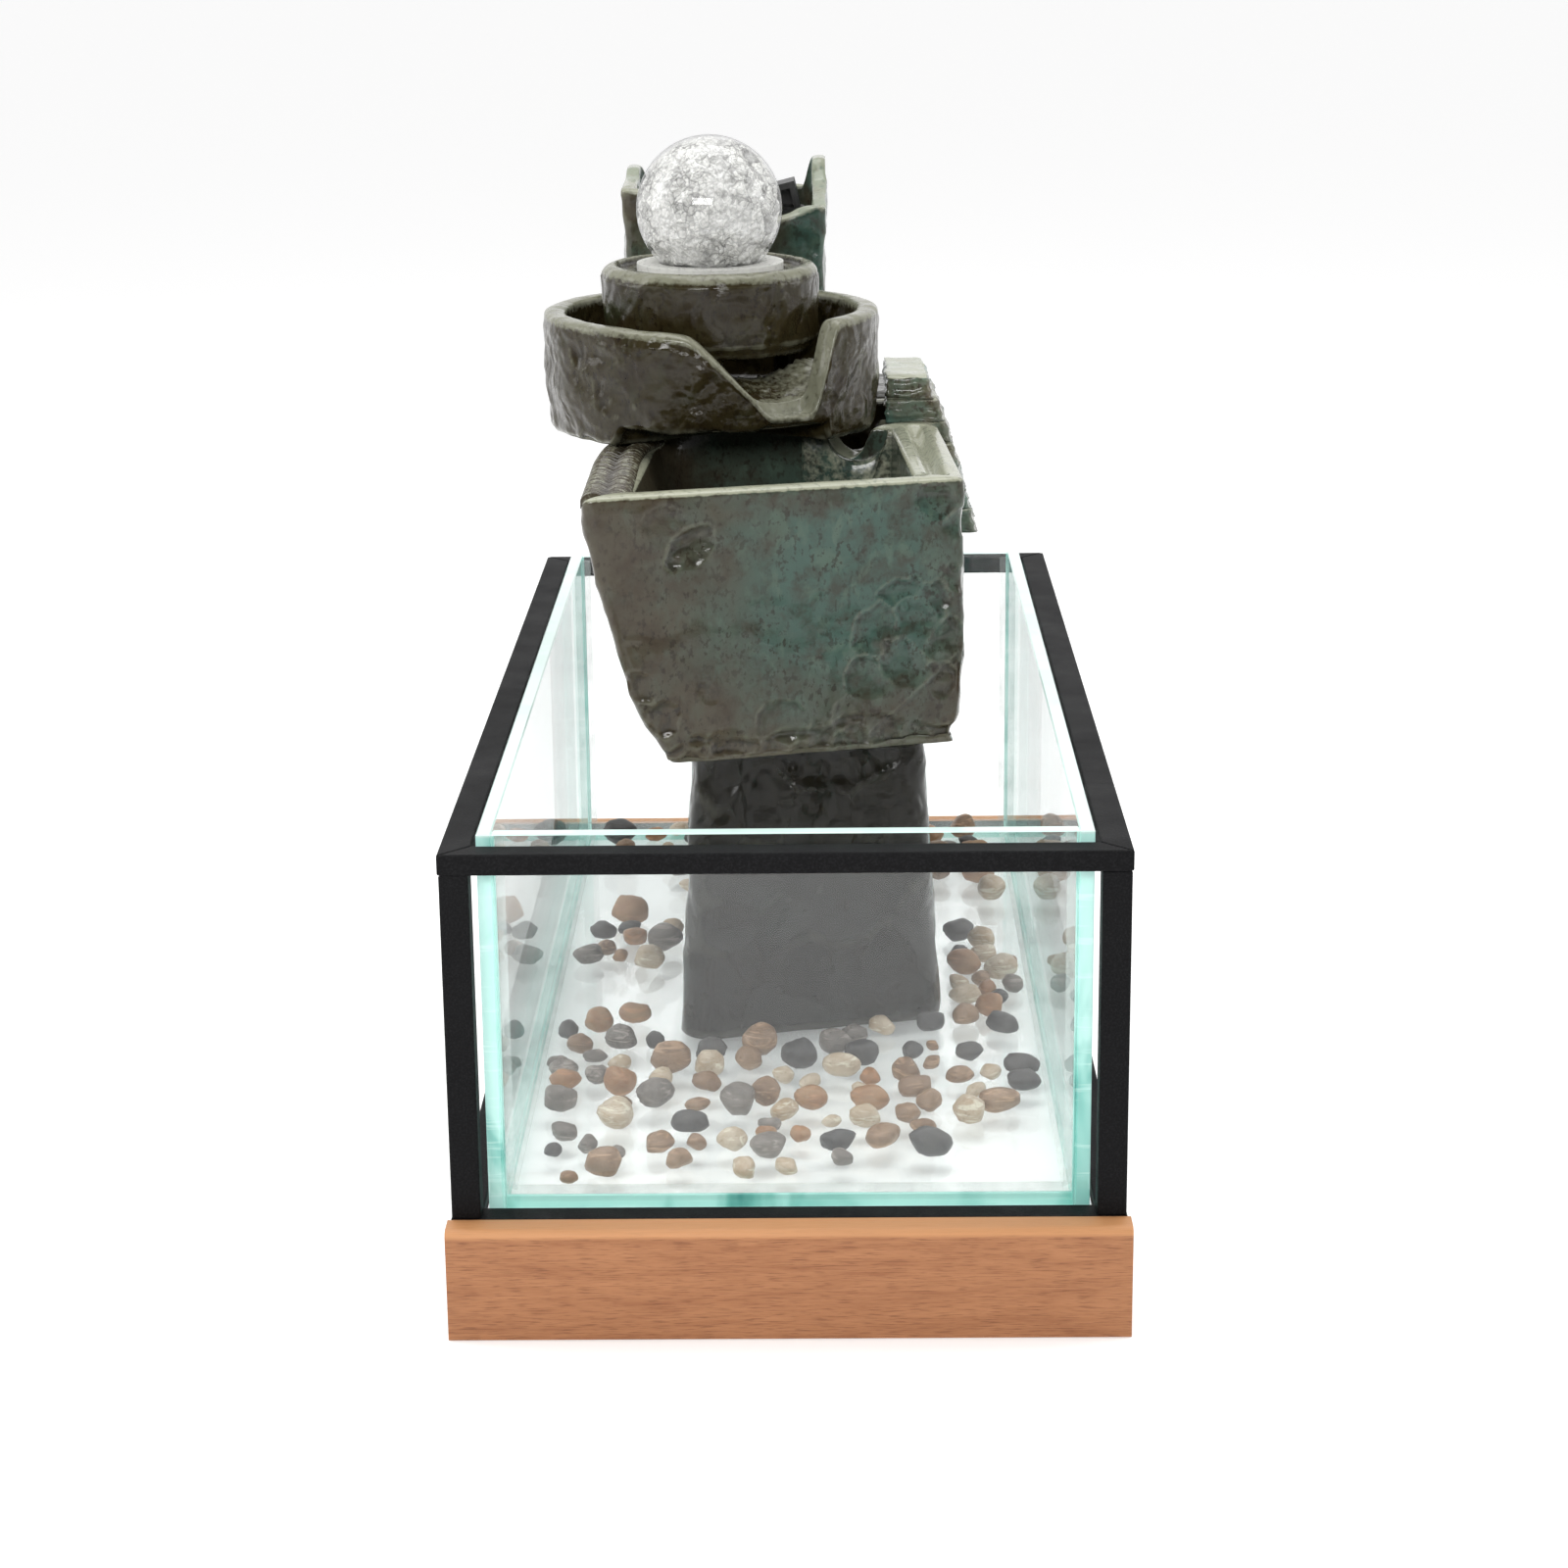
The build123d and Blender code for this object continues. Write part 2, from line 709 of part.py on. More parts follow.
def pebble_field():
    """Pebbles as flattened balls that lie on the tank floor, sorted by colour."""
    chance = random.Random(pebble_seed)
    laid = []
    fields = {name: [] for name in pebble_colours}
    for share_x, share_y, spread, count in pebble_heaps:
        tries = 0
        done = 0
        while done < count and tries < 4000:
            tries += 1
            a = chance.triangular(pebble_small, pebble_large, 6.4)
            b = a * chance.uniform(0.68, 0.95)
            c = b * chance.uniform(0.66, 0.92)
            x = share_x * tank_width + chance.gauss(0, spread)
            y = share_y * tank_length + chance.gauss(0, spread)
            if keep_out(x, y, a):
                continue
            near = any(math.hypot(x - px, y - py) < a + pa + pebble_clearance
                       for px, py, pa in laid)
            if near:
                continue
            laid.append((x, y, a))
            turn = chance.uniform(0, 180)
            colour = chance.choices(pebble_colours, weights=(30, 20, 18, 18, 14))[0]
            stone = scale(Sphere(1), by=(a, b, c))
            stone = Pos(x, y, tank_floor + c) * Rot(0, 0, turn) * stone
            fields[colour].append(stone)
            done += 1
    return {name: group(stones) for name, stones in fields.items()}


# ---------------------------------------------------------------- write all pieces
def main():
    os.makedirs("parts", exist_ok=True)
    pieces = {
        "top_end_rails": rails(True, frame_top - tube_height),
        "top_side_rails": rails(False, frame_top - tube_height),
        "lower_end_rails": rails(True, lower_rail_bottom),
        "lower_side_rails": rails(False, lower_rail_bottom),
        "corner_posts": corner_posts(),
        "board_tabs": board_tabs(),
        "front_wooden_foot": wooden_foot(-1),
        "rear_wooden_foot": wooden_foot(1),
        "foot_screws": foot_screws(),
        "base_board": base_board(),
        "tank_seal": tank_seal(),
        "plinth": plinth(),
        "front_trough": front_trough(),
        "rear_basin": rear_basin(),
        "pump_column": pump_column(),
        "source_box": source_box(),
        "bowl": bowl(),
        "pedestal": pedestal(),
        "crystal_ball": crystal_ball(),
        "lamp_cup": lamp_cup(),
        "lamp_housing": lamp_housing(),
        "lamp_board": lamp_board(),
        "lamp_leds": lamp_leds(),
        "lamp_seal": lamp_seal(),
        "pump_body": pump_body(),
        "pump_cover": pump_cover(),
        "flow_dial": flow_dial(),
        "pump_shaft": pump_shaft(),
        "impeller": impeller(),
        "suction_cups": suction_cups(),
        "riser_tube": riser_tube(),
        "outlet_nozzle": outlet_nozzle(),
    }
    pieces.update(tank_panes())
    for colour, field in pebble_field().items():
        pieces[f"pebbles_{colour}"] = field
    for name, shape in pieces.items():
        save(shape, name)
    print(len(pieces), "nodes")


main()
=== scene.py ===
import math

import bmesh
import bpy
import numpy as np
from mathutils import Matrix, Vector


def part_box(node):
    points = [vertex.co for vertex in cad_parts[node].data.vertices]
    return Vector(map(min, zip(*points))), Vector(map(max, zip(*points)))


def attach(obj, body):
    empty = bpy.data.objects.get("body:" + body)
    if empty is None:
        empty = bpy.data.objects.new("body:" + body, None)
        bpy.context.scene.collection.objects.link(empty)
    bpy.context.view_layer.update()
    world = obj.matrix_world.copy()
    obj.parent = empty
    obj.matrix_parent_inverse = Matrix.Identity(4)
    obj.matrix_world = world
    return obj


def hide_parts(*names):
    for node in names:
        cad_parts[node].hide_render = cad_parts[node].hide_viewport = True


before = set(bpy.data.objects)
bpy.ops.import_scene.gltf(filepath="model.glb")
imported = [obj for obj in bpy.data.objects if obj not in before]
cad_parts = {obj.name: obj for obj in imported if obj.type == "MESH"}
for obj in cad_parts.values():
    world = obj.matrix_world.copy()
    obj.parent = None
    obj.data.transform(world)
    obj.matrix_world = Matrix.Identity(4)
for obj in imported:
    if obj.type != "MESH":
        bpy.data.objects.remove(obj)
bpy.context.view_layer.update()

mm = 0.001
print("frame loaded")


def boxOf(node):
    # lowest and highest corner of a CAD node in millimetres
    low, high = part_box(node)
    return np.array(low) / mm, np.array(high) / mm


# numbers that shape the surfaces

def latticeRandom(ix, iy, iz, seed):
    # one repeatable number from 0 to 1 for each lattice point
    h = (ix * 374761393 + iy * 668265263 + iz * 1440662683 + seed * 974634777) & 0xFFFFFFFF
    h = ((h ^ (h >> 13)) * 1274126177) & 0xFFFFFFFF
    h = ((h ^ (h >> 15)) * 2246822519) & 0xFFFFFFFF
    return (h ^ (h >> 16)) / 4294967296.0


def softNoise(points, cell, seed):
    # lattice values blended with a smooth step, from -1 to 1
    p = points / cell
    i = np.floor(p).astype(np.int64)
    f = p - i
    f = f * f * (3 - 2 * f)
    total = np.zeros(len(points))
    for dx in (0, 1):
        for dy in (0, 1):
            for dz in (0, 1):
                w = ((f[:, 0] if dx else 1 - f[:, 0]) * (f[:, 1] if dy else 1 - f[:, 1])
                     * (f[:, 2] if dz else 1 - f[:, 2]))
                total += w * latticeRandom(i[:, 0] + dx, i[:, 1] + dy, i[:, 2] + dz, seed)
    return total * 2 - 1


def rockNoise(points, cell, seed, octaves=3):
    # soft noise added at half the size and half the height each time
    total = np.zeros(len(points))
    for k in range(octaves):
        total += softNoise(points + 17.3 * k, cell / 2 ** k, seed + k) / 2 ** k
    return total / 1.6


def scoopDepth(points, cell, seed, reach=0.8):
    # round scoops about jittered points: one minus squared distance, so they meet in ridges
    p = points / cell
    i = np.floor(p).astype(np.int64)
    best = np.full(len(points), 9.0)
    for dx in (-1, 0, 1):
        for dy in (-1, 0, 1):
            for dz in (-1, 0, 1):
                jx, jy, jz = i[:, 0] + dx, i[:, 1] + dy, i[:, 2] + dz
                spot = np.stack([jx + latticeRandom(jx, jy, jz, seed),
                                 jy + latticeRandom(jx, jy, jz, seed + 1),
                                 jz + latticeRandom(jx, jy, jz, seed + 2)], 1)
                best = np.minimum(best, np.linalg.norm(p - spot, axis=1))
    return np.clip(1 - (best / reach) ** 2, 0, 1)


def chipDepth(points, chips):
    # chips are (x, y, z, radius, depth, lean): a dish with a wavy outline, deeper towards the lean
    depth = np.zeros(len(points))
    wavy = np.stack([softNoise(points, 7.0, 200 + k) + 0.5 * softNoise(points, 3.0, 210 + k)
                     for k in range(3)], 1)
    for x, y, z, radius, deep, lean in chips:
        off = (points + wavy * 0.17 * radius - np.array([x, y, z])) / radius
        away = (off ** 2).sum(1)
        slide = off[:, 0] * math.cos(math.radians(lean)) + off[:, 2] * math.sin(math.radians(lean))
        depth = np.maximum(depth, deep * np.clip(1 - away, 0, 1) ** 0.62 * (0.7 + 0.45 * slide))
    return depth


# meshes

def inScene(name, data):
    thing = bpy.data.objects.new(name, data)
    bpy.context.scene.collection.objects.link(thing)
    return thing


def newPiece(name, points, faces):
    mesh = bpy.data.meshes.new(name)
    mesh.from_pydata((np.asarray(points) * mm).tolist(), [], faces)
    mesh.update()
    mesh.polygons.foreach_set("use_smooth", np.full(len(mesh.polygons), True))
    return inScene(name, mesh)


def addValues(piece, name, values):
    layer = piece.data.attributes.new(name, "FLOAT", "POINT")
    layer.data.foreach_set("value", np.asarray(values, np.float32))


def gridNormals(grid):
    # rows run up the wall, columns run round it: the normal is round crossed with up
    around = np.roll(grid, -1, 1) - np.roll(grid, 1, 1)
    up = np.gradient(grid, axis=0)
    normal = np.cross(around, up)
    return normal / np.maximum(np.linalg.norm(normal, axis=2, keepdims=True), 1e-9)


def ridgeOf(grid, normal, step=2):
    # how far a point stands above its neighbours: positive on ridges, negative in hollows
    rows = np.clip(np.arange(len(grid)) + step, 0, len(grid) - 1)
    rowsBack = np.clip(np.arange(len(grid)) - step, 0, len(grid) - 1)
    mean = (np.roll(grid, step, 1) + np.roll(grid, -step, 1) + grid[rows] + grid[rowsBack]) / 4
    return np.clip(((grid - mean) * normal).sum(2) * 2.4, -1, 1)


def unitRows(vectors):
    return vectors / np.linalg.norm(vectors, axis=1, keepdims=True)


def gridQuads(rows, cols, ring=False):
    # corners of each face of a grid whose columns run right round; a ring joins its last row to its first
    index = np.arange(rows * cols).reshape(rows, cols)
    here = index if ring else index[:-1]
    above = np.roll(index, -1, 0) if ring else index[1:]
    return np.stack([here, np.roll(here, -1, 1), np.roll(above, -1, 1), above], 2).reshape(-1, 4)


def closedGrid(name, grid, values=None, wearAndHighlight=None):
    # the first and last rows close to a point each
    rows, cols = grid.shape[:2]
    index = np.arange(rows * cols).reshape(rows, cols)
    faces = gridQuads(rows, cols).tolist()
    low, high = rows * cols, rows * cols + 1
    faces += [[low, q, p] for p, q in zip(index[0], np.roll(index[0], -1))]
    faces += [[high, p, q] for p, q in zip(index[-1], np.roll(index[-1], -1))]
    points = np.vstack([grid.reshape(-1, 3), grid[0].mean(0), grid[-1].mean(0)])
    piece = newPiece(name, points, faces)
    if values is not None:
        flat = values.reshape(-1)
        addValues(piece, "ridge", np.append(flat, [values[0].mean(), values[-1].mean()]))
        wearAndHighlight = np.zeros(values.shape) if wearAndHighlight is None else wearAndHighlight
        addValues(piece, "wearAndHighlight", np.append(wearAndHighlight.reshape(-1), [wearAndHighlight[0].mean(), wearAndHighlight[-1].mean()]))
    return piece


def ringGrid(name, grid, values, wearAndHighlight):
    # both ways round are closed, so the last row joins the first
    faces = gridQuads(*grid.shape[:2], ring=True).tolist()
    piece = newPiece(name, grid.reshape(-1, 3), faces)
    addValues(piece, "ridge", values.reshape(-1))
    addValues(piece, "wearAndHighlight", wearAndHighlight.reshape(-1))
    return piece


def outlinePoints(corners, radii, counts):
    # straight sides and corner arcs, in turn, each with a fixed number of points
    corners = np.asarray(corners, float)
    pieces = []
    for k in range(4):
        here, before, after = corners[k], corners[k - 1], corners[(k + 1) % 4]
        toBefore = (before - here) / np.linalg.norm(before - here)
        toAfter = (after - here) / np.linalg.norm(after - here)
        half = math.acos(float(np.clip(toBefore @ toAfter, -1, 1))) / 2
        reach = radii[k] / math.tan(half)
        bisector = (toBefore + toAfter) / np.linalg.norm(toBefore + toAfter)
        middle = here + bisector * radii[k] / math.sin(half)
        start, end = here + toBefore * reach, here + toAfter * reach
        s = np.linspace(0, 1, counts[2 * k], endpoint=False)[:, None]
        chord = start * (1 - s) + end * s - middle
        pieces.append(middle + unitRows(chord) * radii[k])
        nxt = corners[(k + 1) % 4]
        toHere = (here - nxt) / np.linalg.norm(here - nxt)
        far = corners[(k + 2) % 4]
        toFar = (far - nxt) / np.linalg.norm(far - nxt)
        nextHalf = math.acos(float(np.clip(toHere @ toFar, -1, 1))) / 2
        nextStart = nxt + toHere * radii[(k + 1) % 4] / math.tan(nextHalf)
        s = np.linspace(0, 1, counts[2 * k + 1], endpoint=False)[:, None]
        pieces.append(end * (1 - s) + nextStart * s)
    return np.vstack(pieces)


def stackedOutline(levels, outlines):
    # the outline at any height, blended between the levels that are given
    levels, outlines = np.asarray(levels, float), np.stack(outlines)

    def at(z):
        k = np.clip(np.searchsorted(levels, z) - 1, 0, len(levels) - 2)
        t = np.clip((z - levels[k]) / (levels[k + 1] - levels[k]), 0, 1)[:, None]
        cols = np.arange(len(z))
        return outlines[k, cols] * (1 - t) + outlines[k + 1, cols] * t
    return at


def insetBox(x0, x1, y0, y1, inset):
    # four corners of a rectangle drawn in on every side
    x0, x1, y0, y1 = x0 + inset, x1 - inset, y0 + inset, y1 - inset
    return [(x0, y0), (x1, y0), (x1, y1), (x0, y1)]


def eased(height, radius):
    # how far a rounded edge draws in at a height above it
    h = np.clip(height / radius, 0, 1)
    return radius * (1 - np.sqrt(1 - (1 - h) ** 2))


def potGrid(outer, inner, base, rim, floor, rows, lift=2.5, groove=None, edge=3.0):
    # underside, outer wall, rounded rim, inner wall and floor, row by row from centre to centre
    # base and rim are heights for each column; outer and inner give the outline at a height
    count = len(base)
    lines = []
    low = outer(base)
    centre = low.mean(0)
    toCentre = unitRows(centre - low)
    for s in np.linspace(0.02, 1, rows[0]) ** 0.7:
        xy = centre + (low + toCentre * edge - centre) * s
        lines.append(np.column_stack([xy, base]))
    for t in np.linspace(0, 1, rows[1]):
        z = base + (rim - base) * t
        xy = outer(z) + toCentre * eased(z - base, edge)[:, None]
        lines.append(np.column_stack([xy, z]))
    top, inside = outer(rim), inner(rim)
    for a in np.linspace(0, math.pi, rows[2] + 2)[1:-1]:
        t = (1 - math.cos(a)) / 2
        z = rim + lift * math.sin(a) ** 0.6
        if groove is not None:
            z = z - groove * math.exp(-((t - 0.5) / 0.13) ** 2)
        lines.append(np.column_stack([top * (1 - t) + inside * t, z]))
    for t in np.linspace(0, 1, rows[3]):
        z = rim + (floor - rim) * t
        xy = inner(z)
        draw = eased(z - floor, 6.0)[:, None]
        lines.append(np.column_stack([xy + unitRows(xy.mean(0) - xy) * draw, z]))
    last = lines[-1]
    middle = last[:, :2].mean(0)
    level = np.full(count, last[:, 2].mean())
    for s in np.linspace(1, 0.02, rows[4])[1:]:
        lines.append(np.column_stack([middle + (last[:, :2] - middle) * s, level]))
    return np.stack(lines)


def lumpGrid(outer, base, top, rows, edge=4.0, crown=0.0):
    # a closed stone-like block: underside, wall with rounded edges, top
    low = outer(base)
    centre = low.mean(0)
    lines = []
    inward = unitRows(centre - low)
    for s in np.linspace(0.02, 1, rows[0]) ** 0.7:
        lines.append(np.column_stack([centre + (low + inward * edge * 0.6 - centre) * s, base]))
    for t in np.linspace(0, 1, rows[1]):
        t = (1 - math.cos(math.pi * t)) / 2 * 0.35 + t * 0.65
        z = base + (top - base) * t
        xy = outer(z)
        draw = eased(z - base, edge * 0.6) + eased(top - z, edge)
        lines.append(np.column_stack([xy + inward * draw[:, None], z]))
    last = lines[-1]
    middle = last[:, :2].mean(0)
    for s in np.linspace(1, 0.02, rows[2])[1:]:
        z = top + crown * (1 - s * s)
        lines.append(np.column_stack([middle + (last[:, :2] - middle) * s, z]))
    return np.stack(lines)


def carve(grid, depthOf, amount=None):
    # moves each point in along its normal by depthOf(points, row share)
    normal = gridNormals(grid)
    flat = grid.reshape(-1, 3)
    depth = depthOf(flat).reshape(grid.shape[:2])
    if amount is not None:
        depth = depth * amount[:, None]
    return grid - normal * depth[:, :, None]


def rowShares(rows, shares):
    # one share for each row of a pot or lump, given band by band
    return np.repeat(shares, np.append(rows[:-1], rows[-1] - 1))


def rowWearAndHighlight(grid, first, last, fade=2.0):
    # one from the first to the last row, fading out over a few rows each side
    rows = np.arange(len(grid))
    share = np.clip(1 - np.maximum(first - rows, rows - last) / fade, 0, 1)
    return np.repeat(share[:, None], grid.shape[1], 1)


def finishGlazed(name, grid, body, node, wearAndHighlight=None):
    normal = gridNormals(grid)
    piece = closedGrid(name, grid, ridgeOf(grid, normal), wearAndHighlight)
    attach(piece, body)
    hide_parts(node)
    return piece


# materials

def newMaterial(name):
    material = bpy.data.materials.new(name)
    material.use_nodes = True
    tree = material.node_tree
    tree.nodes.clear()
    out = tree.nodes.new("ShaderNodeOutputMaterial")
    return material, tree, out


def newNode(tree, kind, links=(), **values):
    # a shader node with plain values, where _ stands for a space, and (socket, source) links
    node = tree.nodes.new("ShaderNode" + kind)
    for key, value in values.items():
        node.inputs[key.replace("_", " ")].default_value = value
    for key, source in links:
        tree.links.new(source, node.inputs[key])
    return node


def place(tree, scale=(1, 1, 1)):
    coords = newNode(tree, "TexCoord")
    return newNode(tree, "Mapping", [("Vector", coords.outputs["Object"])], Scale=scale).outputs["Vector"]


def noiseNode(tree, vector, scale, detail=3.0, rough=0.55, distort=0.0, output="Fac"):
    node = newNode(tree, "TexNoise", [("Vector", vector)], Scale=scale, Detail=detail, Roughness=rough,
                   Distortion=distort)
    return node.outputs[output]


def vectorNode(tree, kind, first, second=None):
    node = newNode(tree, "VectorMath", [(0, first)])
    node.operation = kind
    if isinstance(second, tuple):
        node.inputs[1].default_value = second
    elif second is not None:
        tree.links.new(second, node.inputs[1])
    return node


def rampNode(tree, source, stops):
    # stops are (place, colour) pairs
    node = tree.nodes.new("ShaderNodeValToRGB")
    ramp = node.color_ramp
    while len(ramp.elements) < len(stops):
        ramp.elements.new(0.5)
    for element, (at, colour) in zip(ramp.elements, stops):
        element.position = at
        element.color = (*colour, 1.0) if len(colour) == 3 else colour
    tree.links.new(source, node.inputs["Fac"])
    return node.outputs["Color"]


def mixColour(tree, share, first, second, blend="MIX"):
    node = tree.nodes.new("ShaderNodeMix")
    node.data_type = "RGBA"
    node.blend_type = blend
    for value, key in ((share, 0), (first, 6), (second, 7)):
        socket = node.inputs[key]
        if isinstance(value, (int, float)):
            socket.default_value = value
        elif isinstance(value, tuple):
            socket.default_value = (*value, 1.0)
        else:
            tree.links.new(value, socket)
    return node.outputs[2]


def mathNode(tree, kind, first, second=None, clamp=False):
    node = tree.nodes.new("ShaderNodeMath")
    node.operation = kind
    node.use_clamp = clamp
    for k, value in enumerate((first, second)):
        if value is None:
            continue
        if isinstance(value, (int, float)):
            node.inputs[k].default_value = value
        else:
            tree.links.new(value, node.inputs[k])
    return node.outputs[0]


def spread(tree, source, low, high, toLow=0.0, toHigh=1.0):
    node = newNode(tree, "MapRange", [("Value", source)], From_Min=low, From_Max=high, To_Min=toLow,
                   To_Max=toHigh)
    return node.outputs["Result"]


def bumpNode(tree, height, strength, distance):
    node = newNode(tree, "Bump", [("Height", height)], Strength=strength, Distance=distance)
    return node.outputs["Normal"]


def attribute(tree, name):
    node = tree.nodes.new("ShaderNodeAttribute")
    node.attribute_name = name
    return node.outputs["Fac"]


def principled(tree, out, colour=None, rough=None, normal=None, **fixed):
    node = tree.nodes.new("ShaderNodeBsdfPrincipled")
    for value, key in ((colour, "Base Color"), (rough, "Roughness")):
        if value is None:
            continue
        if isinstance(value, tuple):
            node.inputs[key].default_value = (*value, 1.0)
        elif isinstance(value, (int, float)):
            node.inputs[key].default_value = value
        else:
            tree.links.new(value, node.inputs[key])
    if normal is not None:
        tree.links.new(normal, node.inputs["Normal"])
    for key, value in fixed.items():
        node.inputs[key.replace("_", " ")].default_value = value
    tree.links.new(node.outputs["BSDF"], out.inputs["Surface"])
    return node


def mixShaders(tree, out, share, first, second):
    ends = [(1, first.outputs["BSDF"]), (2, second.outputs["BSDF"])]
    mix = newNode(tree, "MixShader", [("Fac", share)] + ends)
    tree.links.new(mix.outputs["Shader"], out.inputs["Surface"])


def shade(piece, *materials):
    for material in materials:
        piece.data.materials.append(material)


def shadeNodes(material, *nodes):
    for node in nodes:
        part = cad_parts[node]
        for k in range(max(1, len(part.material_slots))):
            if not part.material_slots:
                part.data.materials.append(material)
            else:
                part.material_slots[k].material = material


glazeLook = {
    "teal": (0.052, 0.100, 0.084),
    "grey": (0.064, 0.055, 0.036),
    "brown": (0.038, 0.025, 0.015),
    "pale": (0.38, 0.39, 0.29),
    "green": (0.085, 0.135, 0.105),
    "fleck": (0.020, 0.012, 0.008),
    "hollow": (0.014, 0.012, 0.009),
}


def glazeMaterial(name, tealShare, tint, paleShare, hammer, centre=None, crestShare=0.2, shine=1.0):
    # reactive glaze: teal breaking to grey and brown, flecked, pale where it runs thin on edges and where a
    # painted highlight is put into the wear values
    # hammer is the depth of the soft dents, crestShare how pale the ridges are
    material, tree, out = newMaterial(name)
    spot = place(tree)
    wide = noiseNode(tree, spot, 22.0, 3.0, 0.5, 0.5)
    middle = noiseNode(tree, spot, 95.0, 4.0, 0.62, 0.3)
    fine = noiseNode(tree, spot, 420.0, 3.0, 0.6)
    teal = spread(tree, wide, 0.62 - tealShare * 0.30, 0.80 - tealShare * 0.30)
    if centre is not None:
        # most teal about one place, given as a point and a reach in metres
        shifted = vectorNode(tree, "SUBTRACT", spot, centre[0])
        scaled = vectorNode(tree, "DIVIDE", shifted.outputs["Vector"], centre[1])
        far = vectorNode(tree, "LENGTH", scaled.outputs["Vector"])
        uneven = spread(tree, wide, 0.3, 0.7, 0.35, -0.35)
        near = spread(tree, mathNode(tree, "ADD", far.outputs["Value"], uneven), 1.25, 0.35)
        teal = mathNode(tree, "MULTIPLY", near, 1.0, True)
    colour = mixColour(tree, teal, glazeLook["grey"], glazeLook["teal"])
    mottled = spread(tree, middle, 0.46, 0.64)
    colour = mixColour(tree, mathNode(tree, "MULTIPLY", mottled, 0.62), colour, glazeLook["brown"])
    greener = spread(tree, noiseNode(tree, place(tree, (1, 1, 0.6)), 160.0, 3.0, 0.6, 0.4), 0.52, 0.68)
    greenShare = mathNode(tree, "ADD", mathNode(tree, "MULTIPLY", teal, 0.6), 0.12)
    greener = mathNode(tree, "MULTIPLY", greener, greenShare)
    colour = mixColour(tree, greener, colour, glazeLook["green"])
    flecks = spread(tree, noiseNode(tree, place(tree, (1, 1, 0.7)), 480.0, 3.0, 0.6), 0.54, 0.62)
    gather = spread(tree, noiseNode(tree, spot, 60.0, 2.0, 0.5), 0.34, 0.6, 0.25, 1.0)
    flecks = mathNode(tree, "MULTIPLY", flecks, gather)
    colour = mixColour(tree, mathNode(tree, "MULTIPLY", flecks, 0.7), colour, glazeLook["fleck"])
    ridge = attribute(tree, "ridge")
    # hollows are darkened towards near black: partly glaze pooling, partly painted shade
    hollow = spread(tree, mathNode(tree, "MULTIPLY", ridge, -1.0), 0.06, 0.5)
    colour = mixColour(tree, mathNode(tree, "MULTIPLY", hollow, 0.5), colour, glazeLook["hollow"])
    colour = mixColour(tree, 1.0, colour, tint, "MULTIPLY")
    crest = spread(tree, ridge, 0.25, 0.9, 0.0, crestShare)
    # pale from the wear values: thin glaze, and painted highlight on the ledges
    edge = mathNode(tree, "ADD", attribute(tree, "wearAndHighlight"), spread(tree, fine, 0.3, 0.7, -0.35, 0.35))
    edge = mathNode(tree, "MULTIPLY", spread(tree, edge, 0.35, 0.95), paleShare)
    colour = mixColour(tree, mathNode(tree, "MAXIMUM", edge, crest), colour, glazeLook["pale"])
    rough = spread(tree, middle, 0.3, 0.7, 0.11, 0.26)
    grain = mathNode(tree, "MULTIPLY", fine, 0.12)
    skin = mathNode(tree, "ADD", mathNode(tree, "MULTIPLY", middle, 0.5), grain)
    dents = noiseNode(tree, place(tree, (1, 1, 0.8)), 68.0, 2.0, 0.5, 0.6)
    skin = mathNode(tree, "ADD", skin, mathNode(tree, "MULTIPLY", dents, 4.0 * hammer))
    principled(tree, out, colour, rough, bumpNode(tree, skin, 0.55, 0.0016), Specular_IOR_Level=0.20 * shine,
               Coat_Weight=0.35 * shine, Coat_Roughness=0.06)
    return material


print("tools ready")


# front trough

troughLook = {
    "frontWall": 9.0,       # thickness of the front wall
    "sideWall": 16.5,       # the left wall carries two ribbed bands
    "rightWall": 18.0,
    "backWall": 9.0,
    "floor": 14.0,
    "slant": 0.2586,        # the front face stands further back on the right
    "groove": 5.5,
    "ribPitch": 1.9,
    "ribDepth": 0.42,
    "ledge": 5.0,           # how far the ribbed band stands above the wall under it
    "notchX": 26.0,
    "notchRadius": 11.5,
}
rimLift = 2.2       # height of the rounded rim of the trough and the basin
# height above the underside, how far the left side and the front stand in; the last one is the rim
troughProfile = ((0, 28.5, 1.6), (6, 26.5, 0.9), (17, 20, 0.6), (27, 15.5, 0.5), (36, 13, 0.4),
                 (62, 6.5, 0.3), (None, 0, 0.3))
# chips in the rock face: x, height, radius, depth, way it deepens in degrees
troughChips = (
    (-32.5, 230.5, 8.2, 3.4, 130), (-37.0, 225.5, 4.6, 2.0, 200), (-42.5, 238.5, 7.5, 1.0, 90),
    (42.0, 207.5, 8.4, 2.2, 120), (51.0, 204.0, 7.5, 2.6, 60), (33.0, 194.5, 9.5, 2.2, 130),
    (47.0, 196.0, 10.5, 2.8, 100), (29.0, 177.0, 9.0, 2.0, 150), (43.5, 181.5, 9.5, 2.6, 120),
    (57.5, 190.0, 9.0, 3.4, 40), (57.0, 176.0, 8.0, 3.0, 60), (-1.5, 162.5, 9.2, 2.0, 110),
    (52.5, 242.5, 8.5, 1.8, 140), (63.5, 232.0, 8.0, 2.6, 30), (-53.0, 181.0, 7.0, 2.4, 200),
    (-45.0, 168.0, 9.0, 3.2, 220), (64.5, 212.0, 7.0, 2.0, 20), (14.0, 157.0, 8.0, 1.6, 260),
    (-22.0, 157.0, 8.0, 1.8, 260), (-29.0, 176.0, 5.0, 0.7, 100), (22.0, 165.0, 7.0, 1.3, 200),
)


def faceLevel(points):
    # how far a point lies behind the slanting front plane
    low, _ = boxOf("front_trough")
    return points[:, 1] - (low[1] + (points[:, 0] - low[0]) * troughLook["slant"])


def notchDip(x, extra=0.0):
    # depth of the half-round water notch at places across the fountain
    radius = troughLook["notchRadius"] + extra
    return np.sqrt(np.clip(radius ** 2 - (x - troughLook["notchX"]) ** 2, 0, None))


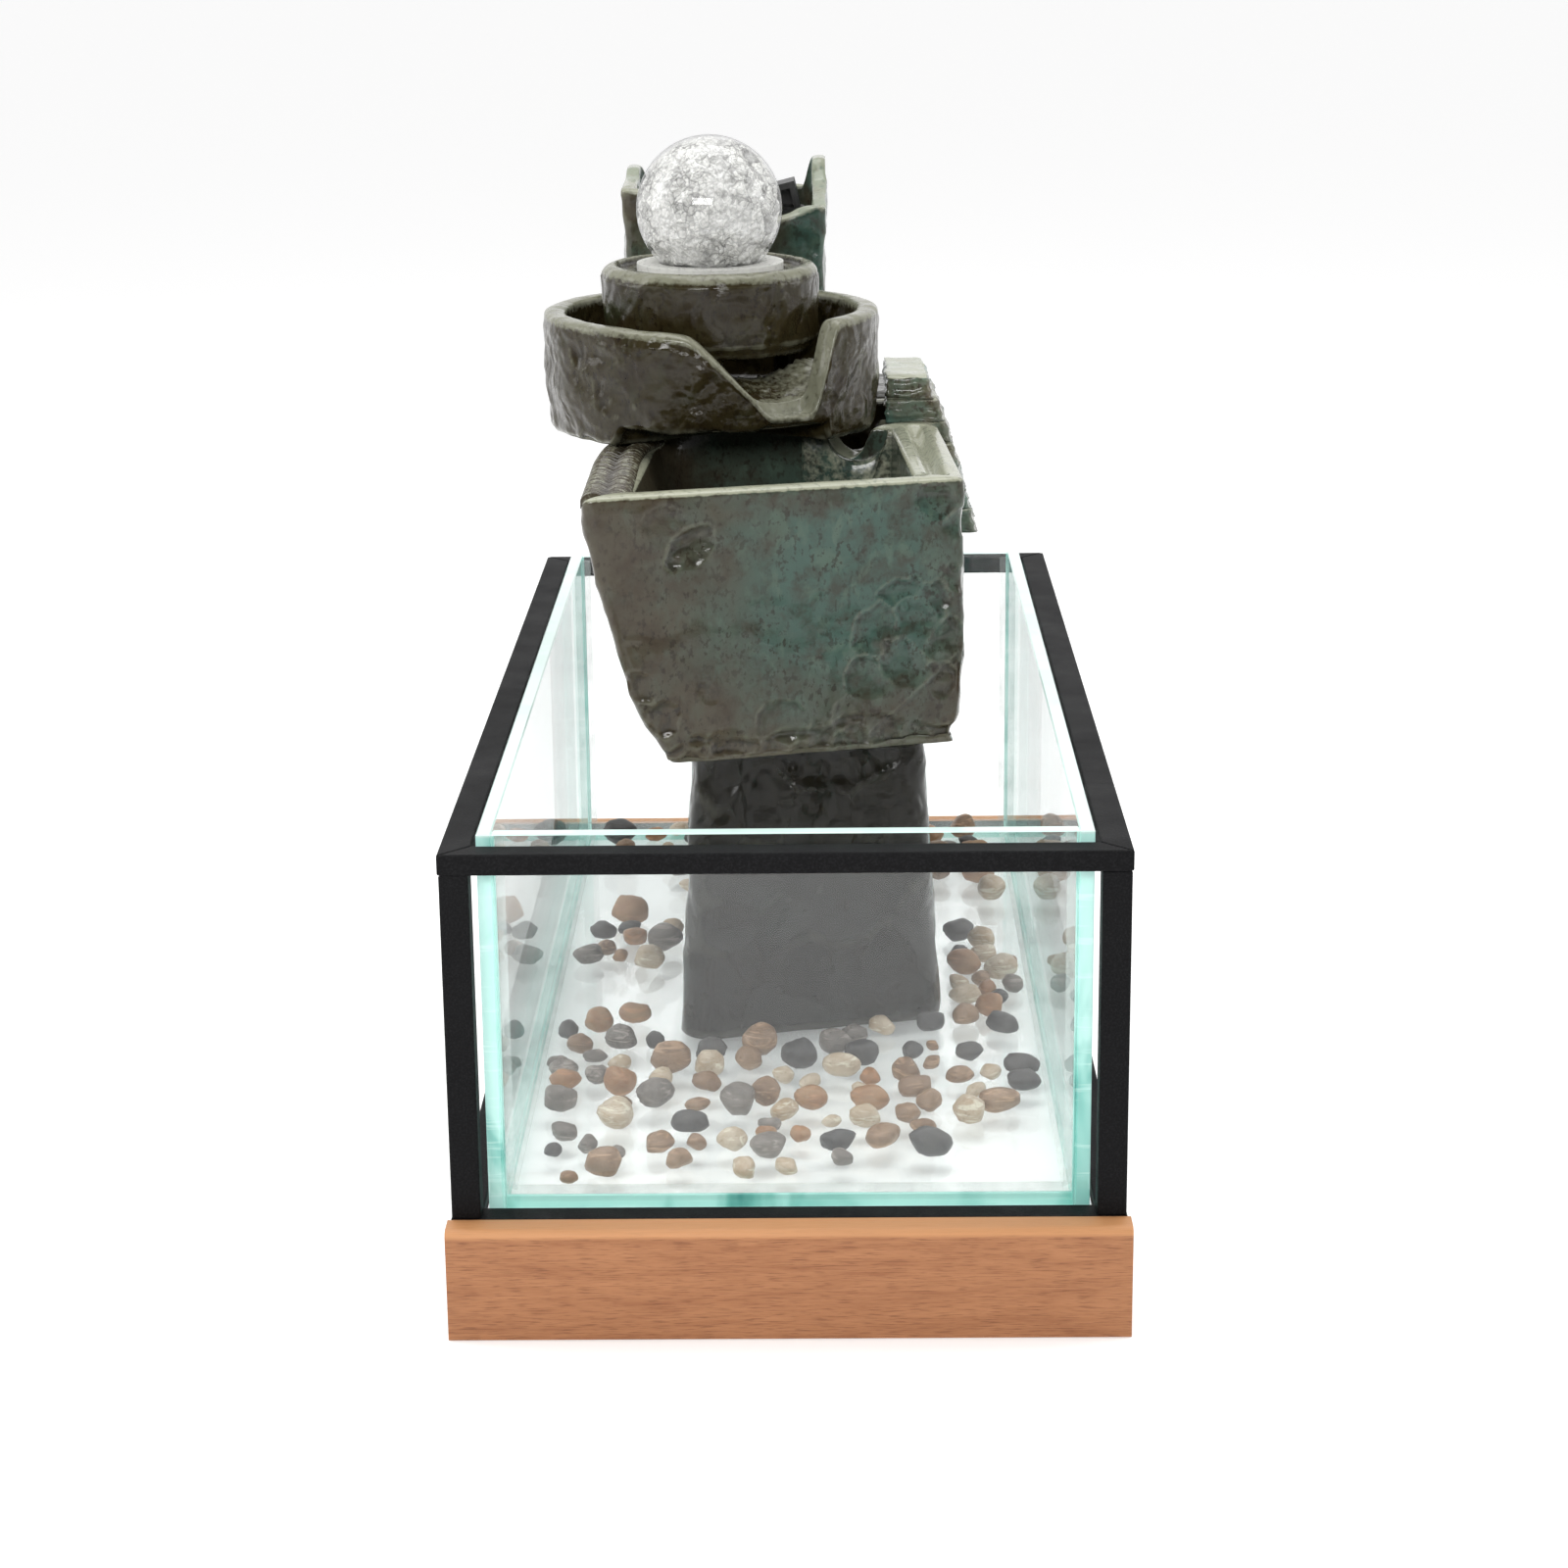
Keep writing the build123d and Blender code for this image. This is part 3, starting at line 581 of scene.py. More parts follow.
def makeTrough():
    low, high = boxOf("front_trough")
    counts = (14, 138, 14, 66, 12, 78, 40, 60)
    x0, x1, y1 = low[0], high[0], high[1]
    look = troughLook
    frontMid = low[1] - x0 * look["slant"]

    def corners(left, right, front, back):
        return [(left, front + left * look["slant"]), (right, front + right * look["slant"]),
                (right - 6, back), (left + 5, back)]
    z0, z1 = low[2], high[2]
    levels = [z1 if up is None else z0 + up for up, _, _ in troughProfile]
    outer = stackedOutline(levels, [
        outlinePoints(corners(x0 + left, x1 - 2.0 * (k < 2), frontMid + front, y1), (4, 3, 7, 38), counts)
        for k, (_, left, front) in enumerate(troughProfile)])
    w = look["sideWall"]
    innerLow = outlinePoints(corners(x0 + 36, x1 - look["rightWall"] - 2, frontMid + look["frontWall"] + 4,
                                     y1 - look["backWall"] - 2), (8, 8, 6, 26), counts)
    innerHigh = outlinePoints(corners(x0 + w, x1 - look["rightWall"], frontMid + look["frontWall"],
                                      y1 - look["backWall"]), (5, 5, 4, 30), counts)
    inner = stackedOutline([z0 + look["floor"], z1], [innerLow, innerHigh])
    total = sum(counts)
    rimXY = (outer(np.full(total, z1)) + inner(np.full(total, z1))) / 2
    rim = z1 - rimLift - notchDip(rimXY[:, 0]) * (rimXY[:, 1] > y1 - 12)
    behind = faceLevel(np.column_stack([rimXY, rim])) - look["frontWall"] / 2
    onLeft = (rimXY[:, 0] < x0 + w) & (behind > 3)
    rim = smoothRound(np.where(onLeft, z1 - look["ledge"], rim), 1)
    side = (rimXY[:, 0] > x1 - look["rightWall"] - 2).astype(float)
    side *= np.clip((behind - 2) / 5, 0, 1) * np.clip((y1 - 6 - rimXY[:, 1]) / 4, 0, 1)
    rows = (8, 112, 14, 40, 8)
    grid = potGrid(outer, inner, np.full(total, z0), rim, z0 + look["floor"], rows, rimLift,
                   look["groove"] * side, 1.6)
    # wear of the underside and the lower edge, then chips and the fracture line
    zone = rowShares(rows, (0.12, 1.0, 0.03, 0.12, 0.2))
    zone[rows[0] + rows[1] - 5:rows[0] + rows[1]] = (0.9, 0.7, 0.5, 0.3, 0.12)

    def depthOf(p):
        nearFace = np.clip(1 - np.abs(faceLevel(p)) / 6, 0, 1)
        bent = p + np.column_stack([rockNoise(p, 8, 62), np.zeros(len(p)), rockNoise(p, 8, 64)]) * 3.2
        chips = [(x, frontMid + x * look["slant"] - 0.3 * r, z, r, d, lean)
                 for x, z, r, d, lean in troughChips]
        depth = chipDepth(bent, chips) * (0.25 + 0.75 * nearFace)
        depth += rockNoise(p, 40, 3) * 0.7 * nearFace + rockNoise(p, 8, 8) * 0.16
        rear = 1 - nearFace
        depth += (scoopDepth(p, 17, 21) * 1.9 + rockNoise(p, 9, 33) * 0.6 - 1.0) * rear
        shore = z0 + 10 + 5 * softNoise(p * np.array([1, 0.2, 0.2]), 11, 36)
        lowBand = np.clip((shore - p[:, 2]) / 2.2, 0, 1)
        depth += lowBand * (scoopDepth(p, 10, 31) * 1.8 + rockNoise(p, 6, 37) * 0.8 + 0.3)
        facet = np.clip((p[:, 0] - 28) * 0.52 - (p[:, 2] - z0 - 2) * 0.60 + 2, 0, 9)
        return depth + (facet * 0.24 + np.clip(facet, 0, 1) * 0.5) * nearFace
    grid = carve(grid, depthOf, zone)
    grid[:, :, 1] = np.minimum(grid[:, :, 1], y1)
    wearAndHighlight = rowWearAndHighlight(grid, rows[0] + rows[1], rows[0] + rows[1] + rows[2] - 1, 1.0)
    print("trough", grid.shape)
    return finishGlazed("rockTrough", grid, "trough", "front_trough", wearAndHighlight)


bandLook = {"halfWidth": 8.6, "length": 142, "passes": 3}


def makeRibbedBand():
    # a closed profile with two humps, carried back along the left wall and ribbed across
    low, high = boxOf("front_trough")
    look = troughLook
    # way along the wall, distance from its outer face, place front to back
    stops = np.array([(0, 9.0, low[1] + 11.0), (75, 9.0, -8.0), (100, 10.5, 16.0), (122, 14.5, 35.0),
                      (bandLook["length"], 24.0, 51.0)]) + np.array([0, low[0], 0])
    s = np.linspace(0, bandLook["length"], 460)
    line = np.column_stack([np.interp(s, stops[:, 0], stops[:, 1]), np.interp(s, stops[:, 0], stops[:, 2])])
    for _ in range(bandLook["passes"]):
        # running mean of 25 points, with the ends held
        longer = np.vstack([np.repeat(line[:1], 13, 0), line, np.repeat(line[-1:], 12, 0)])
        summed = np.cumsum(longer, 0)
        line[1:-1] = (summed[25:] - summed[:-25])[1:-1] / 25
    along = np.gradient(line, axis=0)
    along = unitRows(along)
    out = np.column_stack([-along[:, 1], along[:, 0]])
    turn = np.linspace(0, 2 * math.pi, 44, endpoint=False)
    half = bandLook["halfWidth"]
    wide = np.sign(np.cos(turn)) * np.abs(np.cos(turn)) ** 0.55 * half
    high1 = high[2] - look["ledge"] + 0.6
    humps = 0.62 + 0.38 * np.abs(np.sin(math.pi * np.clip((wide + half) / (2 * half), 0, 1) * 2)) ** 0.7
    rise = np.where(np.sin(turn) > 0, np.abs(np.sin(turn)) ** 0.35 * humps * (look["ledge"] - 0.9), -1.4)
    ribs = np.sin(s * 2 * math.pi / look["ribPitch"] + 0.8 * np.sin(s * 0.31)) * 0.6
    ribs += np.sin(s * 2 * math.pi / look["ribPitch"] * 0.61 + 2.0) * 0.4
    ribGrid = ribs[:, None] * (np.sin(turn) > -0.2)[None, :] * look["ribDepth"]
    x = line[:, :1] + out[:, :1] * (wide[None, :] + 0.4 * ribGrid * np.cos(turn)[None, :])
    y = line[:, 1:] + out[:, 1:] * (wide[None, :] + 0.4 * ribGrid * np.cos(turn)[None, :])
    z = high1 + rise[None, :] + ribGrid * np.clip(np.sin(turn), 0, 1)[None, :]
    grid = np.stack([x, y, z], 2)
    grid[:, :, 1] = np.maximum(grid[:, :, 1], low[1] + 3.2 + (grid[:, :, 0] - low[0]) * look["slant"])
    grid[:, :, 2] += 0.18 * rockNoise(grid.reshape(-1, 3), 6, 44).reshape(grid.shape[:2])
    ridge = np.clip(ribGrid / look["ribDepth"] * 0.5, -1, 1)
    groove = np.exp(-(wide / 1.7) ** 2) * (np.sin(turn) > 0)
    wearAndHighlight = np.clip(0.30 + 0.5 * ridge - 0.3 * groove[None, :], 0, 1)
    piece = closedGrid("ribbedBand", grid, ridge - groove[None, :] * 0.8, wearAndHighlight)
    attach(piece, "trough")
    return piece


# sides measured from the notch, top and foot from the rim of the trough
chuteLook = {"left": 21.5, "right": 16.0, "below": 1.2, "drop": 62.0, "middle": 36.0, "play": 0.4}


def makeChute():
    # the raised apron in front of the water notch: one outline with a half-round dip, carried forward
    look = chuteLook
    notch = troughLook["notchX"]
    _, high = boxOf("front_trough")
    top = high[2] - look["below"]
    left, right = notch - look["left"], notch + look["right"]
    t = np.linspace(0, 1, 150)
    x = left + (right - left) * t
    head = top - notchDip(x, look["play"]) - 2.5 * np.clip(np.abs(x - (left + right) / 2) / 18 - 0.75, 0, 1)
    under = np.linspace(right, left, 60)
    foot = np.full(60, high[2] - look["drop"])
    outline = np.column_stack([np.concatenate([x, under]), np.concatenate([head, foot])])
    middle = np.array([notch, high[2] - look["middle"]])
    # distance in front of the back of the trough, and share of the full outline there
    stations = ((2.0, 0.3), (2.0, 1.0), (6.0, 1.0), (10.0, 1.0), (14.5, 0.998), (15.7, 0.985), (16.2, 0.95),
                (16.4, 0.6), (16.4, 0.2))
    grid = np.stack([np.insert(middle + (outline - middle) * share, 1, high[1] - out, axis=1)
                     for out, share in stations])
    grid = grid[:, ::-1]
    grid = carve(grid, lambda p: rockNoise(p, 12, 55) * 0.4 + rockNoise(p, 5, 57) * 0.15)
    streaks = rockNoise(grid.reshape(-1, 3) * np.array([1, 1, 0.12]), 2.6, 66)
    runs = 0.5 + 0.5 * streaks.reshape(grid.shape[:2])
    drop = np.clip((grid[:, :, 2] - high[2] + 34) / 14, 0, 1)
    piece = closedGrid("waterChute", grid, np.zeros(grid.shape[:2]), 0.25 + 0.6 * runs * drop)
    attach(piece, "trough")
    return piece


# bowl and pedestal

bowlLook = {
    "wall": 9.0,
    "floor": 8.5,
    "lipAngle": -57.0,
    "shoulderLeft": -38.0,
    "lipLeft": -11.5,
    "lipRight": 7.5,
    "shoulderRight": 16.5,
    "lipRise": 1.8,
    "rimLift": 2.6,
    "climb": 0.40,          # the spout floor rises this much for each millimetre inwards
    "dish": 0.012,          # and this much with the square of the way sideways
    "relief": 7.0,
    "reliefFrom": -124.0,
    "reliefTo": -43.0,
}


def anglesDenseAt(count, centre, width, gain):
    # angles round the circle, closer together within width of centre
    fine = np.linspace(-math.pi, math.pi, 4001)
    away = np.abs((fine - centre + math.pi) % (2 * math.pi) - math.pi)
    density = 1 + gain * np.exp(-(away / width) ** 2)
    total = np.concatenate([[0], np.cumsum((density[1:] + density[:-1]) / 2)])
    return np.interp(np.linspace(0, total[-1], count, endpoint=False), total, fine)


def ringOutline(angles, radius):
    return np.column_stack([radius * np.cos(angles), radius * np.sin(angles)])


def smoothRound(values, width):
    # running mean round the ring, a few times
    kernel = np.ones(2 * width + 1) / (2 * width + 1)
    for _ in range(2):
        padded = np.concatenate([values[-width:], values, values[:width]])
        values = np.convolve(padded, kernel, "valid")
    return values


def makeBowl():
    low, high = boxOf("bowl")
    centre = (low + high) / 2
    radius = (high[0] - low[0]) / 2
    look = bowlLook
    aim = math.radians(look["lipAngle"])
    angles = anglesDenseAt(460, aim, 0.62, 3.0)
    z0, z1 = low[2], high[2]
    lift = look["rimLift"]

    def outer(z):
        t = np.clip((z - z0) / (z1 - z0), 0, 1)
        r = radius - 2.6 * (1 - t) ** 2 - 0.6
        return ringOutline(angles, 1.0) * r[:, None] + centre[:2]

    def inner(z):
        t = np.clip((z - z0) / (z1 - z0), 0, 1)
        r = radius - look["wall"] - 4.0 * (1 - t) ** 2
        return ringOutline(angles, 1.0) * r[:, None] + centre[:2]
    across = (radius - look["wall"] / 2) * np.sin(angles - aim)
    front = np.cos(angles - aim) > 0
    lipLine = z0 + look["floor"] + look["lipRise"] - 1
    cut = np.interp(across, [look["shoulderLeft"], look["lipLeft"], look["lipRight"], look["shoulderRight"]],
                    [z1 - lift, lipLine, lipLine, z1 - lift])
    # the rim sinks a little towards the left shoulder
    sinking = 2.2 * np.exp(-((across - look["shoulderLeft"]) / 16.0) ** 2) * front
    rim = np.where(front, cut, z1 - lift) - np.minimum(sinking, np.where(front, cut, z1) - cut.min())
    rim = smoothRound(rim, 5)
    away = np.degrees(angles)
    inRelief = (away > look["reliefFrom"]) & (away < look["reliefTo"])
    base = smoothRound(np.where(inRelief, z0 + look["relief"], z0), 1)
    rows = (8, 66, 12, 34, 22)
    grid = potGrid(outer, inner, base, rim, z0 + look["floor"], rows, lift, None, 2.6)
    # the spout floor: a ramp that climbs inwards from the lip, between sides that ease out
    flat = grid.reshape(-1, 3)
    off = flat[:, :2] - centre[:2]
    reach = off @ np.array([math.cos(aim), math.sin(aim)])
    sideways = off @ np.array([-math.sin(aim), math.cos(aim)])
    lipZ = lipLine + lift
    inward = np.clip(radius - 3 - reach, 0, 30)
    ramp = lipZ + look["climb"] * inward + look["dish"] * np.clip(sideways + 3.0, -24, 20) ** 2
    ramp -= 0.6 * np.clip(-sideways - 34.0, 0, None) + 0.9 * np.clip(sideways - 24.0, 0, None)
    inside = (np.repeat(np.arange(len(grid)), grid.shape[1]) >= rows[0] + rows[1]) & (reach > 34)
    blend = 2.5 * np.logaddexp(flat[:, 2] / 2.5, ramp / 2.5)
    onWall = np.linalg.norm(off, axis=1) > radius - look["wall"] - 1.0
    wallTop = np.where(onWall, np.tile(rim + lift, len(grid)), z1)
    raised = np.minimum(blend, np.maximum(wallTop, flat[:, 2]))
    flat[:, 2] = np.where(inside, np.maximum(flat[:, 2], raised), flat[:, 2])
    grid = flat.reshape(grid.shape)
    zone = rowShares(rows, (0.3, 1.0, 0.2, 0.2, 0.15))
    zone[rows[0] + rows[1] - 6:rows[0] + rows[1]] = (0.9, 0.75, 0.6, 0.45, 0.3, 0.2)

    def depthOf(p):
        cutFace = np.clip((rockNoise(p, 24, 5) + 0.15) * 1.5, 0, 1)
        return (scoopDepth(p, 13, 41, 0.9) * 3.2 * cutFace + rockNoise(p, 15, 7) * 1.3
                + rockNoise(p, 5, 9) * 0.4 - 0.5)
    grid = carve(grid, depthOf, zone)
    wearAndHighlight = rowWearAndHighlight(grid, rows[0] + rows[1], rows[0] + rows[1] + rows[2] - 1, 3.0)
    spoutFloor = inside & (ramp > z0 + look["floor"] + 0.5)
    spoutWear = spoutFloor * np.clip(0.56 + 0.018 * sideways, 0.25, 0.75)
    wearAndHighlight = np.maximum(wearAndHighlight, spoutWear.reshape(wearAndHighlight.shape))
    return finishGlazed("spoutBowl", grid, "bowl", "bowl", wearAndHighlight)


pedestalLook = {"wall": 7.0, "recess": 2.2, "edge": 4.5, "cupBore": 28.6, "cupDeep": 10.9, "lampBore": 24.6,
                "feet": 21.5, "footRadius": 6.0, "footWaist": 1.2, "footIn": 9}


def makePedestal():
    low, high = boxOf("pedestal")
    centre = (low + high) / 2
    radius = (high[0] - low[0]) / 2
    look = pedestalLook
    feet = look["feet"]
    z0, z1 = low[2] + feet, high[2]
    angles = np.linspace(-math.pi, math.pi, 300, endpoint=False)
    # radius and height round the ring: underside, lower edge, wall, top edge, recess, bore of the cup
    bore = look["lampBore"]
    profile = [(bore, z0 + 0.6), (bore + 1.4, z0 + 0.3), (radius - 5, z0)]
    round1 = 3.5
    profile += [(radius - 1.5 - round1 * (1 - math.sin(a)), z0 + round1 * (1 - math.cos(a)))
                for a in np.linspace(0, math.pi / 2, 9)]
    tall = z1 - look["edge"] - z0 - round1
    profile += [(radius - 0.5 * math.cos(h * 2.2), z0 + round1 + tall * h) for h in np.linspace(0.04, 1, 24)]
    profile += [(radius - look["edge"] * (1 - math.cos(a)), z1 - look["edge"] * (1 - math.sin(a)))
                for a in np.linspace(0.1, math.pi / 2, 9)]
    inside = radius - look["wall"]
    profile += [(inside + 1.2 * (1 - s), z1 - look["recess"] * s) for s in (0.1, 0.35, 0.7, 1.0)]
    profile += [(inside - (inside - look["cupBore"]) * s, z1 - look["recess"]) for s in (0.3, 0.65, 0.96)]
    seat = z1 - look["cupDeep"]
    profile += [(look["cupBore"], z1 - 4.0), (look["cupBore"], seat + 1), (look["cupBore"] - 2.0, seat)]
    profile += [(bore + 0.3, seat - 0.2), (bore, z0 + 1.0)]
    profile = np.array(profile)
    grid = np.stack([np.column_stack([ringOutline(angles, r) + centre[:2], np.full(len(angles), z)])
                     for r, z in profile])
    wallShare = np.clip(1 - np.abs(profile[:, 0] - radius) / 6, 0, 1)

    def depthOf(p):
        keep = np.clip((rockNoise(p, 20, 15) + 0.2) * 1.4, 0, 1)
        return (scoopDepth(p, 10, 51, 0.9) * 1.9 * keep + rockNoise(p, 15, 17) * 0.8
                + rockNoise(p, 5, 19) * 0.22)
    grid = carve(grid, depthOf, wallShare)
    edgeRow = int(np.argmax(profile[:, 1]))
    wearAndHighlight = rowWearAndHighlight(grid, edgeRow - 6, edgeRow + 1, 3.0)
    piece = ringGrid("ballPedestal", grid, ridgeOf(grid, gridNormals(grid)), wearAndHighlight)
    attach(piece, "pedestal")
    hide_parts("pedestal")
    # three short feet under it
    for k in range(3):
        turn = math.radians(30 + 120 * k)
        middle = centre[:2] + (radius - look["footIn"]) * np.array([math.cos(turn), math.sin(turn)])
        ring = np.linspace(-math.pi, math.pi, 40, endpoint=False)
        heights = np.linspace(0, 1, 12)
        shape = look["footRadius"] - look["footWaist"] * np.sin(heights * math.pi)
        walls = [np.column_stack([ringOutline(ring, r) + middle, np.full(40, low[2] + feet * h + 0.8 * h)])
                 for r, h in zip(shape, heights)]
        start = [np.column_stack([ringOutline(ring, 0.5) + middle, np.full(40, low[2])])]
        end = [np.column_stack([ringOutline(ring, 0.5) + middle, np.full(40, z0 + 1.0)])]
        foot = closedGrid(f"pedestalFoot{k + 1}", np.stack(start + walls + end),
                          np.zeros((14, 40)))
        foot.parent = piece
        feetMade.append(foot)
    return piece


feetMade = []

# rear basin, column, plinth and source box

ledgeLook = {"layers": 7, "inner": 37.0, "rise": 17.5, "drop": 44.0, "reach": 17.0, "wall": 8.0,
             "wallLow": 11.0, "floor": 14.0}


def makeRearBasin():
    low, high = boxOf("rear_basin")
    look = ledgeLook
    z1 = high[2] - look["rise"]
    x0, x1 = low[0], high[0] - look["reach"]
    y0, y1 = low[1], high[1]
    counts = (8, 90, 10, 50, 14, 90, 12, 50)

    def corners(inset):
        return insetBox(x0, x1, y0, y1, inset)
    outline = outlinePoints(corners(0), (3, 3, 9, 8), counts)
    outer = stackedOutline([low[2], z1], [outline, outline])
    insideTop = outlinePoints(corners(look["wall"]), (4, 4, 5, 5), counts)
    insideLow = outlinePoints(corners(look["wallLow"]), (5, 5, 6, 6), counts)
    floor = low[2] + look["floor"]
    inner = stackedOutline([floor, z1], [insideLow, insideTop])
    middle = (outline + insideTop) / 2
    rim = z1 - rimLift - notchDip(middle[:, 0]) * (middle[:, 1] < y0 + 10)
    rows = (8, 60, 10, 36, 8)
    grid = potGrid(outer, inner, np.full(sum(counts), low[2]), rim, floor, rows, rimLift)
    zone = rowShares(rows, (0.3, 1.0, 0.3, 0.6, 0.3))

    def depthOf(p):
        return scoopDepth(p, 15, 61) * 2.0 + rockNoise(p, 20, 23) * 0.8
    grid = carve(grid, depthOf, zone)
    wearAndHighlight = rowWearAndHighlight(grid, rows[0] + rows[1], rows[0] + rows[1] + rows[2] - 1)
    basin = finishGlazed("rearBasin", grid, "tank", "rear_basin", wearAndHighlight)
    # slate-like ledges down the right side, each a little further out than the one above
    layer = (look["rise"] + look["drop"]) / look["layers"]
    ledges = []
    for k in range(look["layers"]):
        top = high[2] - k * layer
        reach = x1 + look["reach"] * (k / (look["layers"] - 1)) ** 0.8
        inside = look["inner"] if top > z1 + 0.1 else x1 - look["wall"]
        front = y0 + max(0.0, (1.5 - k) * 1.6)
        back = y1 - 6 - 1.3 * (k % 2)
        ring = (5, 34, 8, 60, 8, 34, 5, 50)
        corner = [(inside, front), (reach, front + 1.2 * (k % 3)), (reach - 1.5 * (k % 2), back),
                  (inside, back)]
        edge = outlinePoints(corner, (1.5, 3.5, 3.5, 1.5), ring)
        cornerHigh = [(inside, front), (reach - 2.4, front + 1.0), (reach - 3.6, back - 1), (inside, back)]
        edgeHigh = outlinePoints(cornerHigh, (1.5, 3.5, 3.5, 1.5), ring)
        wider = stackedOutline([top - layer - 1, top], [edge, edgeHigh])
        rings = (5, 16, 12)
        lump = lumpGrid(wider, np.full(len(edge), top - layer - 0.8), np.full(len(edge), top), rings, 1.2)

        def ledgeDepth(p, seed=70 + k):
            drift = softNoise(p * np.array([1, 0.35, 1]), 9, seed) * 1.6
            leaves = np.abs(np.sin(p[:, 2] * 0.75 + drift)) * 0.7
            return scoopDepth(p, 10, seed) * 1.1 + leaves + rockNoise(p, 6, seed) * 0.35 - 0.2
        lump = carve(lump, ledgeDepth, rowShares(rings, (0.3, 1.0, 0.3)))
        lump[:, :, 1] = np.maximum(lump[:, :, 1], y0 + 0.2)
        # pale top faces and edges: thin glaze and painted highlight, strongest on the top ledge
        ledge = closedGrid(f"slateLedge{k + 1}", lump, ridgeOf(lump, gridNormals(lump), 1),
                           rowWearAndHighlight(lump, 19, 40, 2.0) * (1.0 if k == 0 else 0.62))
        ledge.parent = basin
        ledges.append(ledge)
    return basin, ledges


# wall of the column, room round the hose, middle of the plinth's front face
blockLook = {"wall": 8.0, "hoseRoom": 3.5, "plinthFront": -60.5}


def hollowGrid(outer, inner, base, top, rows, hole, plate, edge=3.0):
    # outer wall, top plate, round hole through it, underside of the plate and inner wall, in one ring
    low = outer(base)
    centre = low.mean(0)
    inward = unitRows(centre - low)
    lines = []
    for t in np.linspace(0, 1, rows):
        z = base + (top - base) * t
        draw = eased(z - base, edge * 0.6) + eased(top - z, edge)
        lines.append(np.column_stack([outer(z) + inward * draw[:, None], z]))
    start = lines[-1][:, :2]
    away = start - hole[:2]
    circle = hole[:2] + unitRows(away) * hole[2]
    for s in np.linspace(0, 1, 9)[1:]:
        lines.append(np.column_stack([start + (circle - start) * s, top]))
    under = top - plate
    inside = inner(under)
    for s in np.linspace(0, 1, 7):
        lines.append(np.column_stack([circle + (inside - circle) * s, under]))
    for t in np.linspace(0, 1, rows // 3)[1:]:
        lines.append(np.column_stack([inside, under + (base - under) * t]))
    return np.stack(lines)


def makeBlock(name, node, body, radii, seed, cell, taper=0.0, slant=0.0, arches=(), dent=2.6, hole=None):
    low, high = boxOf(node)
    counts = (20, 88, 20, 110, 20, 88, 20, 110)

    def corners(inset):
        front = low[1] - low[0] * slant
        left, right = low[0] + inset, high[0] - inset
        return [(left, front + left * slant), (right, front + right * slant), (right, high[1] - inset / 2),
                (left, high[1] - inset / 2)]
    outer = stackedOutline([low[2], high[2]], [outlinePoints(corners(0), radii, counts),
                                               outlinePoints(corners(taper), radii, counts)])
    base = np.full(sum(counts), low[2])
    flat = outer(base)
    for x, y, r in arches:
        away = np.hypot(flat[:, 0] - x, flat[:, 1] - y)
        base = np.maximum(base, low[2] + np.sqrt(np.clip(r * r - away ** 2, 0, None)))
    top = np.full(sum(counts), high[2])
    rows = (8, max(50, int((high[2] - low[2]) / 1.9)), 8)
    if hole is None:
        grid = lumpGrid(outer, base, top, rows, 3.0)
    else:
        wall = outlinePoints(corners(blockLook["wall"]), (3, 3, 3, 3), counts)
        wall[:, 1] = np.maximum(wall[:, 1], low[1] + blockLook["wall"])
        inner = stackedOutline([low[2], high[2]], [wall, wall])
        grid = hollowGrid(outer, inner, base, top, rows[1], hole, blockLook["wall"])
    zone = rowShares(rows, (0.2, 1.0, 0.15))
    zone[rows[0]:rows[0] + 3] = (0.3, 0.5, 0.8)
    if hole is not None:
        zone = np.concatenate([np.ones(rows[1]), np.zeros(len(grid) - rows[1])])

    def depthOf(p):
        # dents overlap softly: a wide scoop field squared, with slow waves
        return (scoopDepth(p, cell, seed, 1.05) ** 1.4 * dent + rockNoise(p, cell * 1.3, seed + 3) * 1.3
                + rockNoise(p, 6, seed + 5) * 0.16 - 0.6)
    grid = carve(grid, depthOf, zone)
    if hole is None:
        return finishGlazed(name, grid, body, node)
    piece = ringGrid(name, grid, ridgeOf(grid, gridNormals(grid)), np.zeros(grid.shape[:2]))
    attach(piece, body)
    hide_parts(node)
    return piece


boxLook = {"wall": 6.0, "pool": 34.0}


